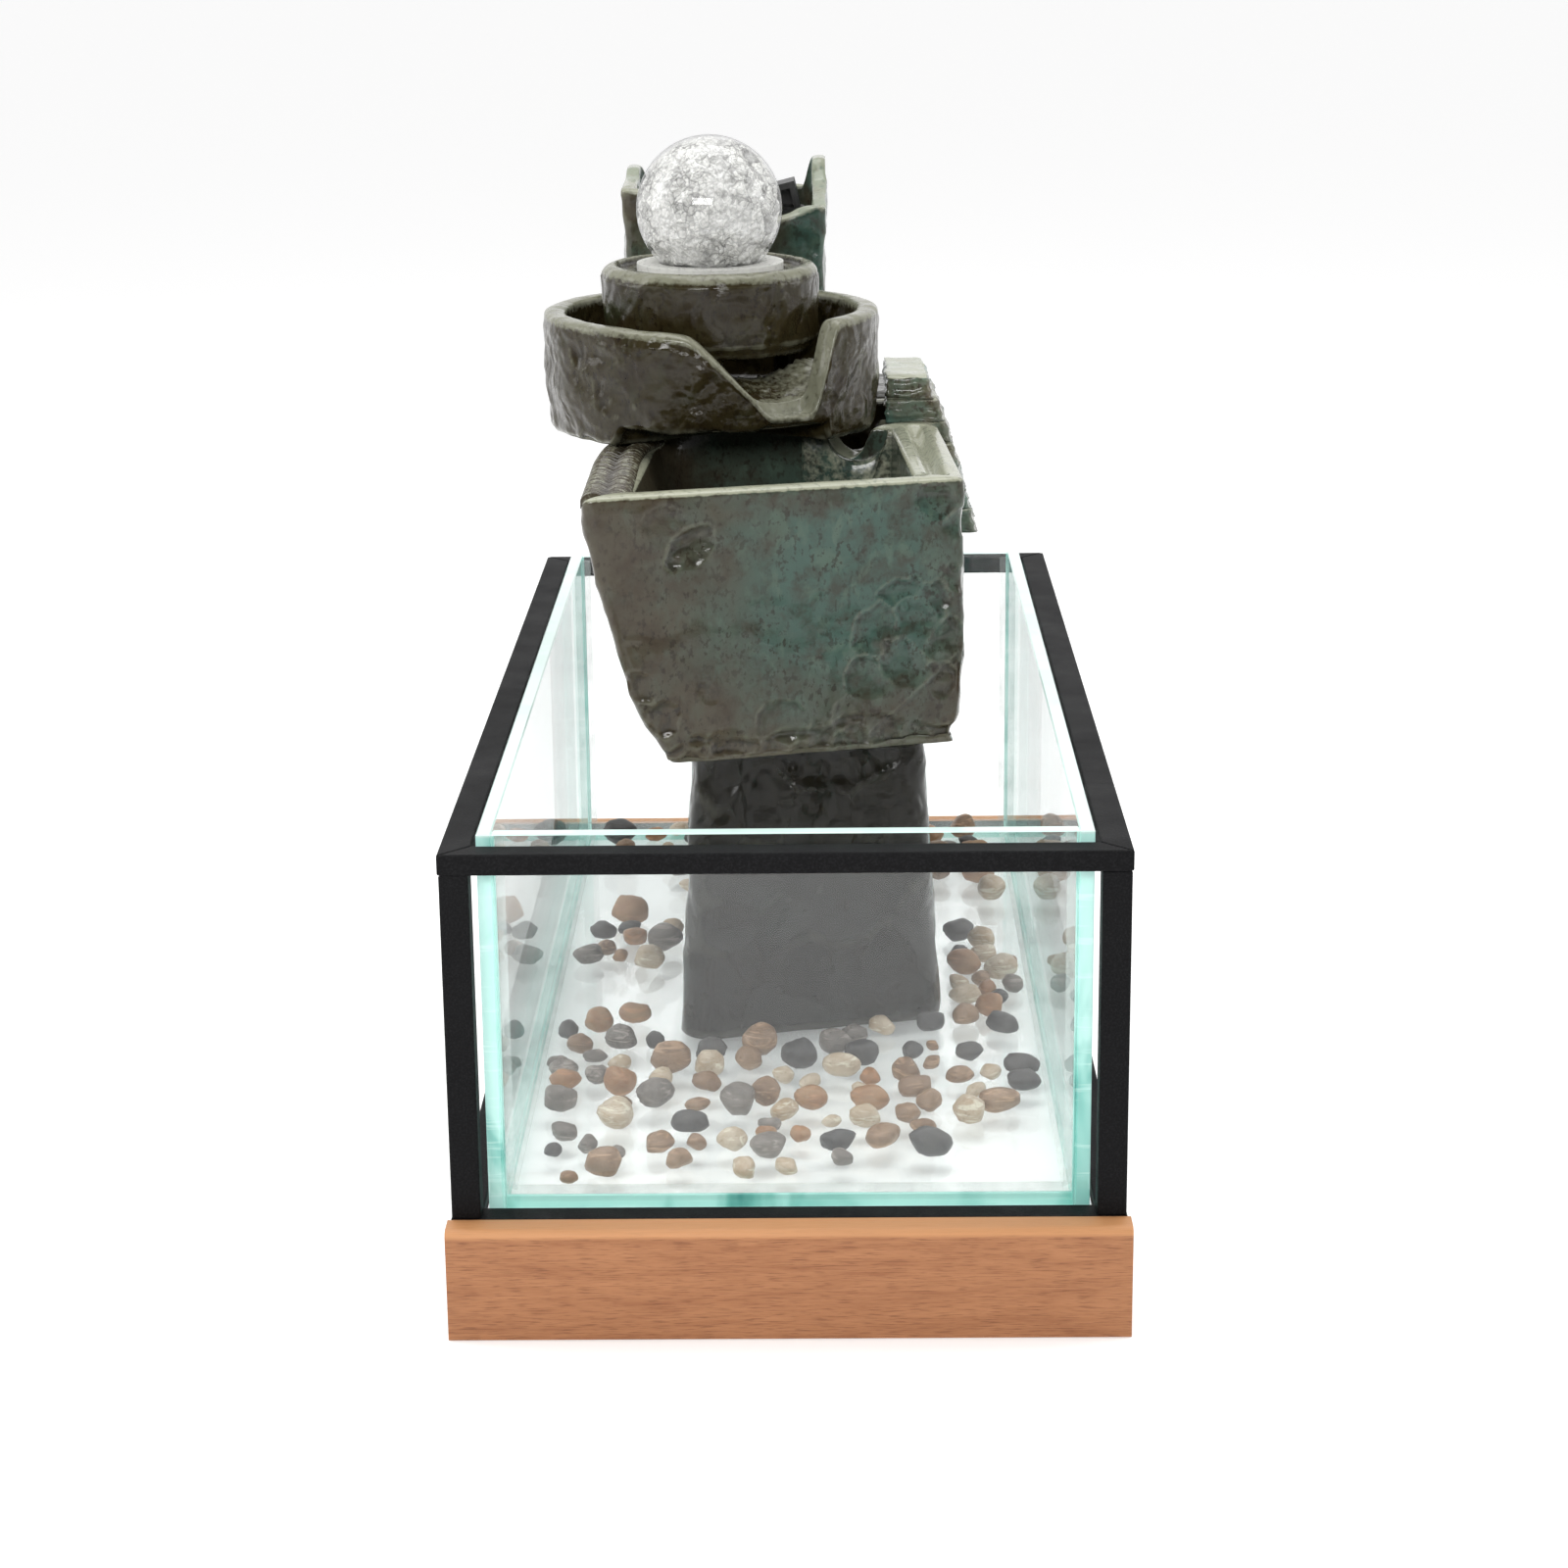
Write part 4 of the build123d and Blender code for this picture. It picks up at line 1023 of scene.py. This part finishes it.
def makeSourceBox():
    low, high = boxOf("source_box")
    counts = (10, 90, 10, 60, 12, 80, 12, 60)
    x0, x1, y0, y1, z0, z1 = low[0], high[0], low[1], high[1], low[2], high[2]

    def corners(inset):
        return insetBox(x0, x1, y0, y1, inset)
    outline = outlinePoints(corners(0), (4, 3, 5, 5), counts)
    outer = stackedOutline([z0, z1], [outlinePoints(corners(1.5), (4, 3, 5, 5), counts), outline])
    inside = outlinePoints(corners(boxLook["wall"]), (4, 4, 4, 4), counts)
    inner = stackedOutline([z1 - boxLook["pool"], z1], [inside, inside])
    middle = (outline + inside) / 2
    x, y = middle[:, 0], middle[:, 1]
    width = x1 - x0
    # heights along the front wall: corner, dip to the notch, hump, right corner
    shares = np.array([0.0, 0.07, 0.2, 0.34, 0.5, 0.62, 0.76, 0.84, 0.90, 0.95, 1.0])
    rises = np.array([-8.0, -8.5, -10.5, -20.0, -25.0, -24.0, -20.5, -18.6, -15.8, -15.4, -17.5])
    front = z1 + np.interp((x - x0) / width, shares, rises)
    sideLeft = z1 + np.interp((y - y0) / (y1 - y0), [0, 0.12, 0.5, 0.6, 0.68, 0.93, 1.0],
                              [-8.0, -7.6, -7.0, -6.0, -3.2, -3.2, -8])
    sideRight = z1 + np.interp((y - y0) / (y1 - y0), [0, 0.1, 0.45, 0.58, 0.66, 0.93, 1.0],
                               [-17.5, -16.5, -11.0, -8.0, 0.0, 0.0, -6])
    back = np.full(len(x), z1 - 12.5)
    onFront = y < y0 + boxLook["wall"]
    onLeft = (x < x0 + boxLook["wall"]) & ~onFront
    onRight = (x > x1 - boxLook["wall"]) & ~onFront
    rim = np.where(onFront, front, np.where(onLeft, sideLeft, np.where(onRight, sideRight, back)))
    rim = smoothRound(rim, 2) - 1.8
    rows = (8, 60, 10, 26, 8)
    grid = potGrid(outer, inner, np.full(len(x), z0), rim, z1 - boxLook["pool"], rows, 1.8, None, 2.5)
    zone = rowShares(rows, (0.3, 1.0, 0.35, 0.5, 0.3))

    def depthOf(p):
        return scoopDepth(p, 16, 81) * 1.5 + rockNoise(p, 11, 83) * 0.6 + rockNoise(p, 5, 87) * 0.15 - 0.4
    grid = carve(grid, depthOf, zone)
    wearAndHighlight = rowWearAndHighlight(grid, rows[0] + rows[1], rows[0] + rows[1] + rows[2] - 1)
    return finishGlazed("sourceBox", grid, "source_box", "source_box", wearAndHighlight)


# the trough is most teal a little right of the middle of its face: a place and a reach in metres
tealPatch = ((0.022, -0.06, 0.212), (0.062, 0.40, 0.052))
troughGlaze = glazeMaterial("troughGlaze", tealShare=0.85, tint=(0.90, 0.86, 0.82), paleShare=0.8,
                            hammer=0.12, centre=tealPatch, crestShare=0.12)
bowlGlaze = glazeMaterial("bowlGlaze", tealShare=0.06, tint=(0.46, 0.42, 0.26), paleShare=0.42, hammer=1.3,
                          shine=0.8)
boxGlaze = glazeMaterial("boxGlaze", tealShare=0.95, tint=(1.0, 1.0, 0.95), paleShare=0.55, hammer=0.3)
ledgeGlaze = glazeMaterial("ledgeGlaze", tealShare=0.8, tint=(1.7, 1.8, 1.75), paleShare=0.8, hammer=0.2,
                           crestShare=0.5)
plinthGlaze = glazeMaterial("plinthGlaze", tealShare=0.06, tint=(0.12, 0.115, 0.09), paleShare=0.2,
                            hammer=1.6, crestShare=0.05, shine=0.75)

shade(makeTrough(), troughGlaze)
shade(makeRibbedBand(), troughGlaze)
shade(makeChute(), troughGlaze)
shade(makeBowl(), bowlGlaze)
shade(makePedestal(), bowlGlaze)
for foot in feetMade:
    shade(foot, bowlGlaze)
basin, ledges = makeRearBasin()
shade(basin, bowlGlaze)
for ledge in ledges:
    shade(ledge, ledgeGlaze)
shade(makeSourceBox(), boxGlaze)
# water passes under the blocks through low arches: x, y, radius
plinthLow, plinthHigh = boxOf("plinth")
middleY = (plinthHigh[1] + blockLook["plinthFront"]) / 2
plinthArches = [(side, middleY + shift, 9.0) for side in (plinthLow[0], plinthHigh[0]) for shift in (-30, 30)]
shade(makeBlock("plinthRock", "plinth", "tank", radii=(11, 11, 12, 12), seed=91, cell=19.0, taper=6.0,
                slant=troughLook["slant"], arches=plinthArches, dent=2.0), plinthGlaze)
columnLow, columnHigh = boxOf("pump_column")
columnX, columnY, _ = (columnLow + columnHigh) / 2
columnArches = [(columnLow[0], columnY, 9.0), (columnHigh[0], columnY, 9.0), (columnX, columnHigh[1], 8.0)]
hoseLow, hoseHigh = boxOf("riser_tube")
hoseRadius = (hoseHigh[0] - hoseLow[0]) / 2 + blockLook["hoseRoom"]
hoseHole = np.append((hoseLow[:2] + hoseHigh[:2]) / 2, hoseRadius)
shade(makeBlock("columnRock", "pump_column", "column", radii=(9, 9, 9, 9), seed=101, cell=19.0,
                arches=columnArches, dent=2.2, hole=hoseHole), plinthGlaze)
print("stoneware made")


# ball

ballLook = {"shell": 0.9, "wideCells": 165.0, "smallCells": 420.0, "wobble": 0.0035}


def sphereGrid(centre, radius, rows=90, cols=160):
    polar = np.linspace(0.012, math.pi - 0.012, rows)[::-1]
    around = np.linspace(-math.pi, math.pi, cols, endpoint=False)
    z = np.cos(polar)[:, None] * np.ones(cols)
    x = np.sin(polar)[:, None] * np.cos(around)[None, :]
    y = np.sin(polar)[:, None] * np.sin(around)[None, :]
    return np.stack([x, y, z], 2) * radius + centre


def makeBall():
    low, high = boxOf("crystal_ball")
    centre = (low + high) / 2
    radius = (high[2] - low[2]) / 2
    shell = closedGrid("crystalBall", sphereGrid(centre, radius - 0.05))
    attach(shell, "ball")
    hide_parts("crystal_ball")
    core = sphereGrid(centre, radius - ballLook["shell"], 170, 300)
    core = carve(core, lambda p: (scoopDepth(p, 5.6, 7) * 1.3 + scoopDepth(p, 2.4, 9) * 0.7
                                  + rockNoise(p, 1.7, 12) * 0.35 - 0.5))
    crackle = closedGrid("crackleCore", core, ridgeOf(core, gridNormals(core), 1))
    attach(crackle, "ball")
    return shell, crackle


def clearSkin(name, tint, mirror=0.08, rough=0.02):
    # clear skin that lets light straight through, with a mirror share that grows at glancing angles
    material, tree, out = newMaterial(name)
    clear = newNode(tree, "BsdfTransparent", Color=(*tint, 1.0))
    shine = newNode(tree, "BsdfGlossy", Roughness=rough)
    weight = newNode(tree, "LayerWeight", Blend=0.5)
    glance = mathNode(tree, "POWER", weight.outputs["Facing"], 5.0)
    share = mathNode(tree, "ADD", mathNode(tree, "MULTIPLY", glance, 0.9), mirror, True)
    mixShaders(tree, out, share, clear, shine)
    return material


def crackleMaterial():
    # shattered glass: small facets from near white to grey, fine cracks, a few dark windows
    material, tree, out = newMaterial("crackledGlass")
    spot = place(tree)
    wobble = noiseNode(tree, spot, 260.0, 2.0, 0.5, 0.0, "Color")
    shrink = vectorNode(tree, "SCALE", wobble)
    shrink.inputs["Scale"].default_value = ballLook["wobble"]
    warped = vectorNode(tree, "ADD", spot, shrink.outputs["Vector"]).outputs["Vector"]
    colour = None
    height = None
    for scale, stops in ((ballLook["wideCells"], ((0.0, 0.16), (0.10, 0.42), (0.26, 0.78), (1.0, 1.0))),
                         (ballLook["smallCells"], ((0.0, 0.34), (0.22, 0.62), (0.45, 0.90), (1.0, 1.0)))):
        tone = newNode(tree, "TexVoronoi", [("Vector", warped)], Scale=scale)
        grey = rampNode(tree, tone.outputs["Color"], [(at, (v, v, v * 0.985)) for at, v in stops])
        edges = newNode(tree, "TexVoronoi", [("Vector", warped)], Scale=scale)
        edges.feature = "DISTANCE_TO_EDGE"
        lines = spread(tree, edges.outputs["Distance"], 0.0, 0.07, 0.34, 1.0)
        grey = mixColour(tree, 1.0, grey, lines, "MULTIPLY")
        colour = grey if colour is None else mixColour(tree, 1.0, colour, grey, "MULTIPLY")
        rise = edges.outputs["Distance"]
        height = rise if height is None else mathNode(tree, "ADD", height, rise)
    haze = spread(tree, noiseNode(tree, spot, 60.0, 3.0), 0.42, 0.60, 0.0, 0.55)
    colour = mixColour(tree, haze, colour, (0.97, 0.97, 0.96))
    sparks = spread(tree, noiseNode(tree, spot, 1300.0, 4.0, 0.75), 0.54, 0.66, 0.0, 0.6)
    colour = mixColour(tree, sparks, colour, (0.36, 0.36, 0.34))
    ridge = spread(tree, attribute(tree, "ridge"), -0.5, 0.1, 0.55, 1.0)
    colour = mixColour(tree, 1.0, colour, ridge, "MULTIPLY")
    colour = mixColour(tree, 1.0, colour, (0.92, 0.92, 0.91), "MULTIPLY")
    principled(tree, out, colour, 0.18, bumpNode(tree, height, 0.8, 0.0012), Coat_Weight=0.3)
    return material


shell, crackle = makeBall()
shade(shell, clearSkin("ballSkin", (0.99, 0.99, 0.99), 0.04))
shade(crackle, crackleMaterial())
print("ball made")


# glass tank

glassLook = {"chamfer": 0.5, "gap": 0.04, "deep": (0.06, 0.26, 0.235), "bright": (0.42, 0.72, 0.66)}


def panePiece(node):
    # a sheet of glass with small chamfers: broad faces are clear, cut edges are green
    low, high = boxOf(node)
    low, high = low + glassLook["gap"], high - glassLook["gap"]
    c = glassLook["chamfer"]
    size = high - low
    thin = int(np.argmin(size))
    mesh = bmesh.new()
    bmesh.ops.create_cube(mesh, size=1.0)
    for v in mesh.verts:
        v.co = [(low[k] + size[k] * (v.co[k] + 0.5)) * mm for k in range(3)]
    bmesh.ops.bevel(mesh, geom=list(mesh.edges), offset=c * mm, segments=1, affect="EDGES")
    mesh.normal_update()
    for face in mesh.faces:
        face.material_index = 0 if abs(face.normal[thin]) > 0.99 else 1
    data = bpy.data.meshes.new(node + "Glass")
    mesh.to_mesh(data)
    mesh.free()
    piece = inScene(node + "_glass", data)
    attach(piece, "tank")
    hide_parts(node)
    return piece


def edgeMaterial():
    # cut edges: pale on top, deep green down the ends, with darker clouds and bright streaks; the colour is
    # also emitted as a painted glow
    material, tree, out = newMaterial("glowingGlassEdge")
    spot = place(tree)
    clouds = noiseNode(tree, place(tree, (26, 26, 16)), 1.0, 3.0, 0.6, 0.8)
    streak = noiseNode(tree, place(tree, (30, 30, 420)), 1.0, 3.0, 0.6)
    colour = rampNode(tree, clouds, [(0.26, glassLook["deep"]), (0.40, (0.19, 0.50, 0.44)),
                                     (0.52, glassLook["bright"]), (0.8, (0.52, 0.80, 0.74))])
    colour = mixColour(tree, spread(tree, streak, 0.58, 0.70, 0, 0.35), colour, (0.70, 0.90, 0.86))
    split = newNode(tree, "SeparateXYZ", [(0, spot)])
    top = spread(tree, split.outputs["Z"], 0.1640, 0.1650)
    colour = mixColour(tree, mathNode(tree, "MULTIPLY", top, 0.8), colour, (0.62, 0.74, 0.70))
    # the edge colour is emitted too: painted glow
    node = principled(tree, out, colour, 0.15, Coat_Weight=0.4, Emission_Strength=0.30)
    tree.links.new(colour, node.inputs["Emission Color"])
    return material


clearGlass = clearSkin("clearGlass", (0.985, 0.995, 0.992), 0.045, 0.01)
cutEdge = edgeMaterial()
for node in ("tank_left_pane", "tank_right_pane", "tank_front_pane", "tank_rear_pane", "tank_floor_pane"):
    shade(panePiece(node), clearGlass, cutEdge)


def sealMaterial():
    material, tree, out = newMaterial("clearSilicone")
    body = newNode(tree, "BsdfPrincipled", Base_Color=(0.80, 0.84, 0.83, 1), Roughness=0.25)
    bubbles = spread(tree, noiseNode(tree, place(tree), 60.0, 2.0), 0.35, 0.7, 0.14, 0.30)
    mixShaders(tree, out, bubbles, newNode(tree, "BsdfTransparent"), body)
    return material


shadeNodes(sealMaterial(), "tank_seal")
print("tank made")


# frame, feet and board

def softened(node, body, width, name):
    # the CAD shape with its sharp edges eased
    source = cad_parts[node]
    mesh = bmesh.new()
    mesh.from_mesh(source.data)
    bmesh.ops.remove_doubles(mesh, verts=list(mesh.verts), dist=1e-6)
    bmesh.ops.dissolve_limit(mesh, angle_limit=0.01, verts=list(mesh.verts), edges=list(mesh.edges))
    data = bpy.data.meshes.new(name)
    mesh.to_mesh(data)
    mesh.free()
    piece = inScene(name, data)
    bevel = piece.modifiers.new("ease", "BEVEL")
    bevel.width = width * mm
    bevel.segments = 2
    bevel.limit_method = "ANGLE"
    bevel.angle_limit = math.radians(35)
    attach(piece, body)
    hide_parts(node)
    return piece


def powderCoat():
    material, tree, out = newMaterial("powderCoat")
    spot = place(tree)
    grain = noiseNode(tree, spot, 1500.0, 2.0, 0.6)
    patch = noiseNode(tree, spot, 40.0, 3.0)
    colour = mixColour(tree, spread(tree, grain, 0.45, 0.7), (0.005, 0.005, 0.0055), (0.012, 0.012, 0.013))
    rough = spread(tree, patch, 0.3, 0.7, 0.50, 0.62)
    principled(tree, out, colour, rough, bumpNode(tree, grain, 0.45, 0.0004), Specular_IOR_Level=0.08)
    return material


woodLook = {
    "dark": (0.15, 0.046, 0.014),
    "middle": (0.26, 0.090, 0.030),
    "light": (0.34, 0.135, 0.050),
    "pale": (0.42, 0.180, 0.072),
    "edge": (0.62, 0.30, 0.125),
}


def woodMaterial():
    # straight grain along the plank, short dark pores, and a painted highlight that makes the rounded top
    # edge paler
    material, tree, out = newMaterial("oiledWood")
    long = place(tree, (9, 60, 60))
    bands = noiseNode(tree, long, 3.2, 5.0, 0.6, 0.8)
    pores = noiseNode(tree, place(tree, (130, 2400, 2400)), 1.0, 2.0, 0.55)
    fibres = noiseNode(tree, place(tree, (40, 1100, 1100)), 1.0, 4.0, 0.75)
    colour = rampNode(tree, bands, [(0.30, woodLook["middle"]), (0.5, woodLook["light"]),
                                    (0.72, woodLook["pale"])])
    colour = mixColour(tree, spread(tree, fibres, 0.38, 0.64, 0, 0.7), colour, woodLook["pale"])
    colour = mixColour(tree, spread(tree, pores, 0.52, 0.66, 0, 0.62), colour, woodLook["dark"])
    split = newNode(tree, "SeparateXYZ", [(0, place(tree))])
    # painted highlight: the top band is drawn paler where the top light falls
    top = spread(tree, split.outputs["Z"], 0.0348, 0.0362)
    colour = mixColour(tree, mathNode(tree, "MULTIPLY", top, 0.8), colour, woodLook["edge"])
    skin = mathNode(tree, "SUBTRACT", fibres, pores)
    principled(tree, out, colour, 0.5, bumpNode(tree, skin, 0.35, 0.0005))
    return material


def boardMaterial():
    # white board with a faint emitted glow: painted light that keeps it white under the glass
    material, tree, out = newMaterial("glowingWhiteBoard")
    tone = noiseNode(tree, place(tree), 20.0, 3.0)
    colour = mixColour(tree, tone, (0.86, 0.86, 0.86), (0.92, 0.92, 0.92))
    principled(tree, out, colour, 0.45, Emission_Color=(1.0, 1.0, 1.0, 1.0), Emission_Strength=0.25)
    return material


steel = powderCoat()
for node, width in (("top_end_rails", 0.7), ("top_side_rails", 0.7), ("lower_end_rails", 0.7),
                    ("lower_side_rails", 0.7), ("corner_posts", 0.9)):
    shade(softened(node, "frame", width, node + "_coat"), steel)
shadeNodes(steel, "board_tabs")
wood = woodMaterial()
for node in ("front_wooden_foot", "rear_wooden_foot"):
    shade(softened(node, "frame", 0.6, node + "_wood"), wood)
shadeNodes(boardMaterial(), "base_board")
print("frame made")


# pebbles

pebbleRows, pebbleCols = 12, 20
# two colours that each kind of stone is clouded between
pebbleLook = {
    "pebbles_tan": ((0.36, 0.235, 0.145), (0.20, 0.115, 0.062)),
    "pebbles_cream": ((0.66, 0.57, 0.45), (0.46, 0.33, 0.20)),
    "pebbles_grey": ((0.26, 0.235, 0.215), (0.12, 0.105, 0.095)),
    "pebbles_charcoal": ((0.050, 0.050, 0.052), (0.105, 0.10, 0.095)),
    "pebbles_rust": ((0.34, 0.165, 0.070), (0.50, 0.33, 0.19)),
}


def pebbleShapes(node):
    # centre, half sizes and turn of each pebble, read from its loose shell
    mesh = bmesh.new()
    mesh.from_mesh(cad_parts[node].data)
    bmesh.ops.remove_doubles(mesh, verts=list(mesh.verts), dist=2e-6)
    found = []
    seen = set()
    for start in mesh.verts:
        if start in seen:
            continue
        seen.add(start)
        stack = [start]
        island = []
        while stack:
            v = stack.pop()
            island.append(v.co[:])
            for e in v.link_edges:
                w = e.other_vert(v)
                if w not in seen:
                    seen.add(w)
                    stack.append(w)
        p = np.array(island) / mm
        centre = (p.max(0) + p.min(0)) / 2
        flat = p[:, :2] - centre[:2]
        lengths = np.hypot(flat[:, 0], flat[:, 1])
        tip = flat[int(np.argmax(lengths))]
        a = lengths.max()
        axis = tip / a
        b = np.abs(flat @ np.array([-axis[1], axis[0]])).max()
        c = (p[:, 2].max() - p[:, 2].min()) / 2
        found.append((centre, a, b, c, math.atan2(axis[1], axis[0])))
    mesh.free()
    return found


def makePebbles(node, seed):
    # each pebble is an uneven ball: noise on the direction, one or two worn flats, squeezed to its size
    shapes = pebbleShapes(node)
    rows, cols = pebbleRows, pebbleCols
    unit = sphereGrid(np.zeros(3), 1.0, rows, cols)
    flatUnit = unit.reshape(-1, 3)
    points, faces, tones = [], [], []
    index = np.arange(rows * cols).reshape(rows, cols)
    quads = gridQuads(rows, cols)
    for k, (centre, a, b, c, turn) in enumerate(shapes):
        shift = np.array([k * 7.31 + seed, k * 3.17, k * 1.93])
        bulge = 1 + 0.22 * softNoise(flatUnit * 1.1 + shift, 1.0, seed)
        bulge = bulge + 0.07 * softNoise(flatUnit * 3 + shift, 1.0, seed + 1)
        p = flatUnit * bulge[:, None]
        for j in range(3):
            way = np.array([math.cos(k * 2.1 + j * 2.4), math.sin(k * 1.7 + j * 2.1), 0.35 * math.sin(k + j)])
            way /= np.linalg.norm(way)
            over = np.clip(p @ way - 0.78, 0, None)
            p = p - way * (over * 0.75)[:, None]
        p = p / np.abs(p).max(0) * np.array([a, b, c]) * 0.995
        cs, sn = math.cos(turn), math.sin(turn)
        p = np.column_stack([p[:, 0] * cs - p[:, 1] * sn, p[:, 0] * sn + p[:, 1] * cs, p[:, 2]]) + centre
        first = k * (rows * cols + 2)
        ends = np.vstack([p.reshape(rows, cols, 3)[0].mean(0), p.reshape(rows, cols, 3)[-1].mean(0)])
        points.append(np.vstack([p, ends]))
        faces += (quads + first).tolist()
        low, high = first + rows * cols, first + rows * cols + 1
        faces += [[low, first + index[0][(m + 1) % cols], first + index[0][m]] for m in range(cols)]
        faces += [[high, first + index[-1][m], first + index[-1][(m + 1) % cols]] for m in range(cols)]
        tone = float(latticeRandom(np.int64(k), np.int64(seed), np.int64(5), 3))
        tones.append(np.full(rows * cols + 2, tone))
    piece = newPiece(node + "_stones", np.vstack(points), [[int(i) for i in f] for f in faces])
    addValues(piece, "tone", np.concatenate(tones))
    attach(piece, "tank")
    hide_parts(node)
    return piece


def stoneMaterial(name, first, second):
    material, tree, out = newMaterial(name)
    spot = place(tree)
    tone = attribute(tree, "tone")
    cloud = noiseNode(tree, spot, 130.0, 5.0, 0.62, 0.7)
    clouded = spread(tree, cloud, 0.35, 0.65, -0.25, 0.55)
    share = mathNode(tree, "ADD", clouded, mathNode(tree, "MULTIPLY", tone, 0.5), True)
    colour = mixColour(tree, share, first, second)
    bands = noiseNode(tree, place(tree, (60, 110, 420)), 1.0, 3.0, 0.6, 1.5)
    pale = tuple(min(1.0, c * 1.8 + 0.04) for c in first)
    colour = mixColour(tree, spread(tree, bands, 0.54, 0.64, 0.0, 0.6), colour, pale)
    colour = mixColour(tree, 1.0, colour, (0.74, 0.72, 0.70), "MULTIPLY")
    pits = noiseNode(tree, spot, 1100.0, 3.0, 0.65)
    colour = mixColour(tree, spread(tree, pits, 0.58, 0.66, 0.0, 0.5), colour, tuple(c * 0.4 for c in second))
    rough = spread(tree, cloud, 0.3, 0.7, 0.34, 0.6)
    principled(tree, out, colour, rough, bumpNode(tree, mathNode(tree, "ADD", pits, cloud), 0.4, 0.0006))
    return material


for seed, (node, (first, second)) in enumerate(pebbleLook.items()):
    shade(makePebbles(node, 11 + seed), stoneMaterial(node + "Stone", first, second))
print("pebbles made")


# lamp, pump and small parts

def plainMaterial(name, colour, rough, scale=700.0, bump=0.15, **fixed):
    # moulded plastic or rubber with a faint skin texture
    material, tree, out = newMaterial(name)
    skin = noiseNode(tree, place(tree), scale, 3.0)
    tint = mixColour(tree, spread(tree, skin, 0.35, 0.7), tuple(c * 0.88 for c in colour), colour)
    principled(tree, out, tint, spread(tree, skin, 0.3, 0.7, rough * 0.85, min(1.0, rough * 1.15)),
               bumpNode(tree, skin, bump, 0.0003), **fixed)
    return material


blackPlastic = plainMaterial("blackPlastic", (0.012, 0.012, 0.012), 0.4)
blackRubber = plainMaterial("blackRubber", (0.02, 0.02, 0.02), 0.6)
frosted = plainMaterial("frostedResin", (0.80, 0.80, 0.76), 0.3, 500.0, 0.2)
shadeNodes(frosted, "lamp_cup")
shadeNodes(plainMaterial("whitePlastic", (0.78, 0.78, 0.76), 0.4), "lamp_housing", "lamp_board")
shadeNodes(plainMaterial("phosphor", (0.85, 0.70, 0.22), 0.35), "lamp_leds")
shadeNodes(blackRubber, "lamp_seal", "suction_cups", "riser_tube")
shadeNodes(blackPlastic, "pump_body", "pump_cover", "flow_dial", "outlet_nozzle")
shadeNodes(plainMaterial("rotorPlastic", (0.05, 0.05, 0.055), 0.35), "impeller")
shadeNodes(plainMaterial("groundCeramic", (0.75, 0.74, 0.70), 0.3), "pump_shaft")
shadeNodes(plainMaterial("zincScrew", (0.55, 0.55, 0.56), 0.35, 900.0, 0.2, Metallic=1.0), "foot_screws")
print("small parts made")


# floor, light and camera

def makeFloor():
    mesh = bpy.data.meshes.new("floor")
    half, level = 30, -0.0003
    mesh.from_pydata([(-half, -half, level), (half, -half, level), (half, half, level), (-half, half, level)],
                     [], [(0, 1, 2, 3)])
    floor = inScene("floor", mesh)
    material, tree, out = newMaterial("paleFloor")
    principled(tree, out, (0.85, 0.85, 0.85), 0.8, Emission_Color=(1.0, 1.0, 1.0, 1.0),
               Emission_Strength=0.32)
    shade(floor, material)


def softBox(name, at, aim, size, power):
    data = bpy.data.lights.new(name, "AREA")
    data.shape = "RECTANGLE"
    data.size, data.size_y = size
    data.energy = power
    light = inScene(name, data)
    light.location = at
    light.rotation_euler = (Vector(aim) - Vector(at)).to_track_quat("-Z", "Y").to_euler()


def makeWorld():
    world = bpy.data.worlds.new("studio")
    bpy.context.scene.world = world
    world.use_nodes = True
    tree = world.node_tree
    tree.nodes.clear()
    out = tree.nodes.new("ShaderNodeOutputWorld")
    coords = newNode(tree, "TexCoord")
    split = newNode(tree, "SeparateXYZ", [(0, coords.outputs["Generated"])])
    level = spread(tree, split.outputs["Y"], -0.7, 0.1, 0.10, 1.0)
    back = newNode(tree, "Background", [("Strength", level)], Color=(1.0, 1.0, 1.0, 1.0))
    tree.links.new(back.outputs["Background"], out.inputs["Surface"])


makeFloor()
makeWorld()
# place, target, size and power of each lamp
lightLook = {
    "topLight": ((0.0, 0.15, 1.4), (0.0, 0.0, 0.15), (1.0, 1.0), 11),
    "leftLight": ((-1.2, 0.1, 0.75), (0.0, 0.0, 0.2), (0.4, 1.0), 4),
    "rightLight": ((1.2, 0.1, 0.75), (0.0, 0.0, 0.2), (0.4, 1.0), 3.5),
    "frontLight": ((-0.30, -1.6, 0.85), (0.0, 0.0, 0.2), (1.0, 0.3), 15),
}
for name, (at, aim, size, power) in lightLook.items():
    softBox(name, at, aim, size, power)

cameraLook = {
    "place": (0.0135, -1.2263, 0.4707),
    "down": 15.947,
    "turn": 0.772,
    "roll": -0.637,
    "lens": 76.5,
}


def makeCamera():
    data = bpy.data.cameras.new("view")
    data.sensor_width = 36.0
    data.lens = cameraLook["lens"]
    data.clip_end = 50.0
    camera = inScene("view", data)
    down, turn, roll = (math.radians(cameraLook[k]) for k in ("down", "turn", "roll"))
    tilt = math.pi / 2 - down
    # turn about the upright, then tilt, then roll about the line of sight
    cz, sz, cx, sx, cr, sr = (math.cos(turn), math.sin(turn), math.cos(tilt), math.sin(tilt),
                              math.cos(roll), math.sin(roll))
    upright = np.array([[cz, -sz, 0], [sz, cz, 0], [0, 0, 1]])
    tilted = np.array([[1, 0, 0], [0, cx, -sx], [0, sx, cx]])
    rolled = np.array([[cr, -sr, 0], [sr, cr, 0], [0, 0, 1]])
    whole = np.eye(4)
    whole[:3, :3] = upright @ tilted @ rolled
    whole[:3, 3] = cameraLook["place"]
    camera.matrix_world = Matrix(whole.tolist())
    bpy.context.scene.camera = camera


makeCamera()
bpy.context.scene.view_settings.view_transform = "Standard"
bpy.context.scene.cycles.transparent_max_bounces = 32
print("studio made")
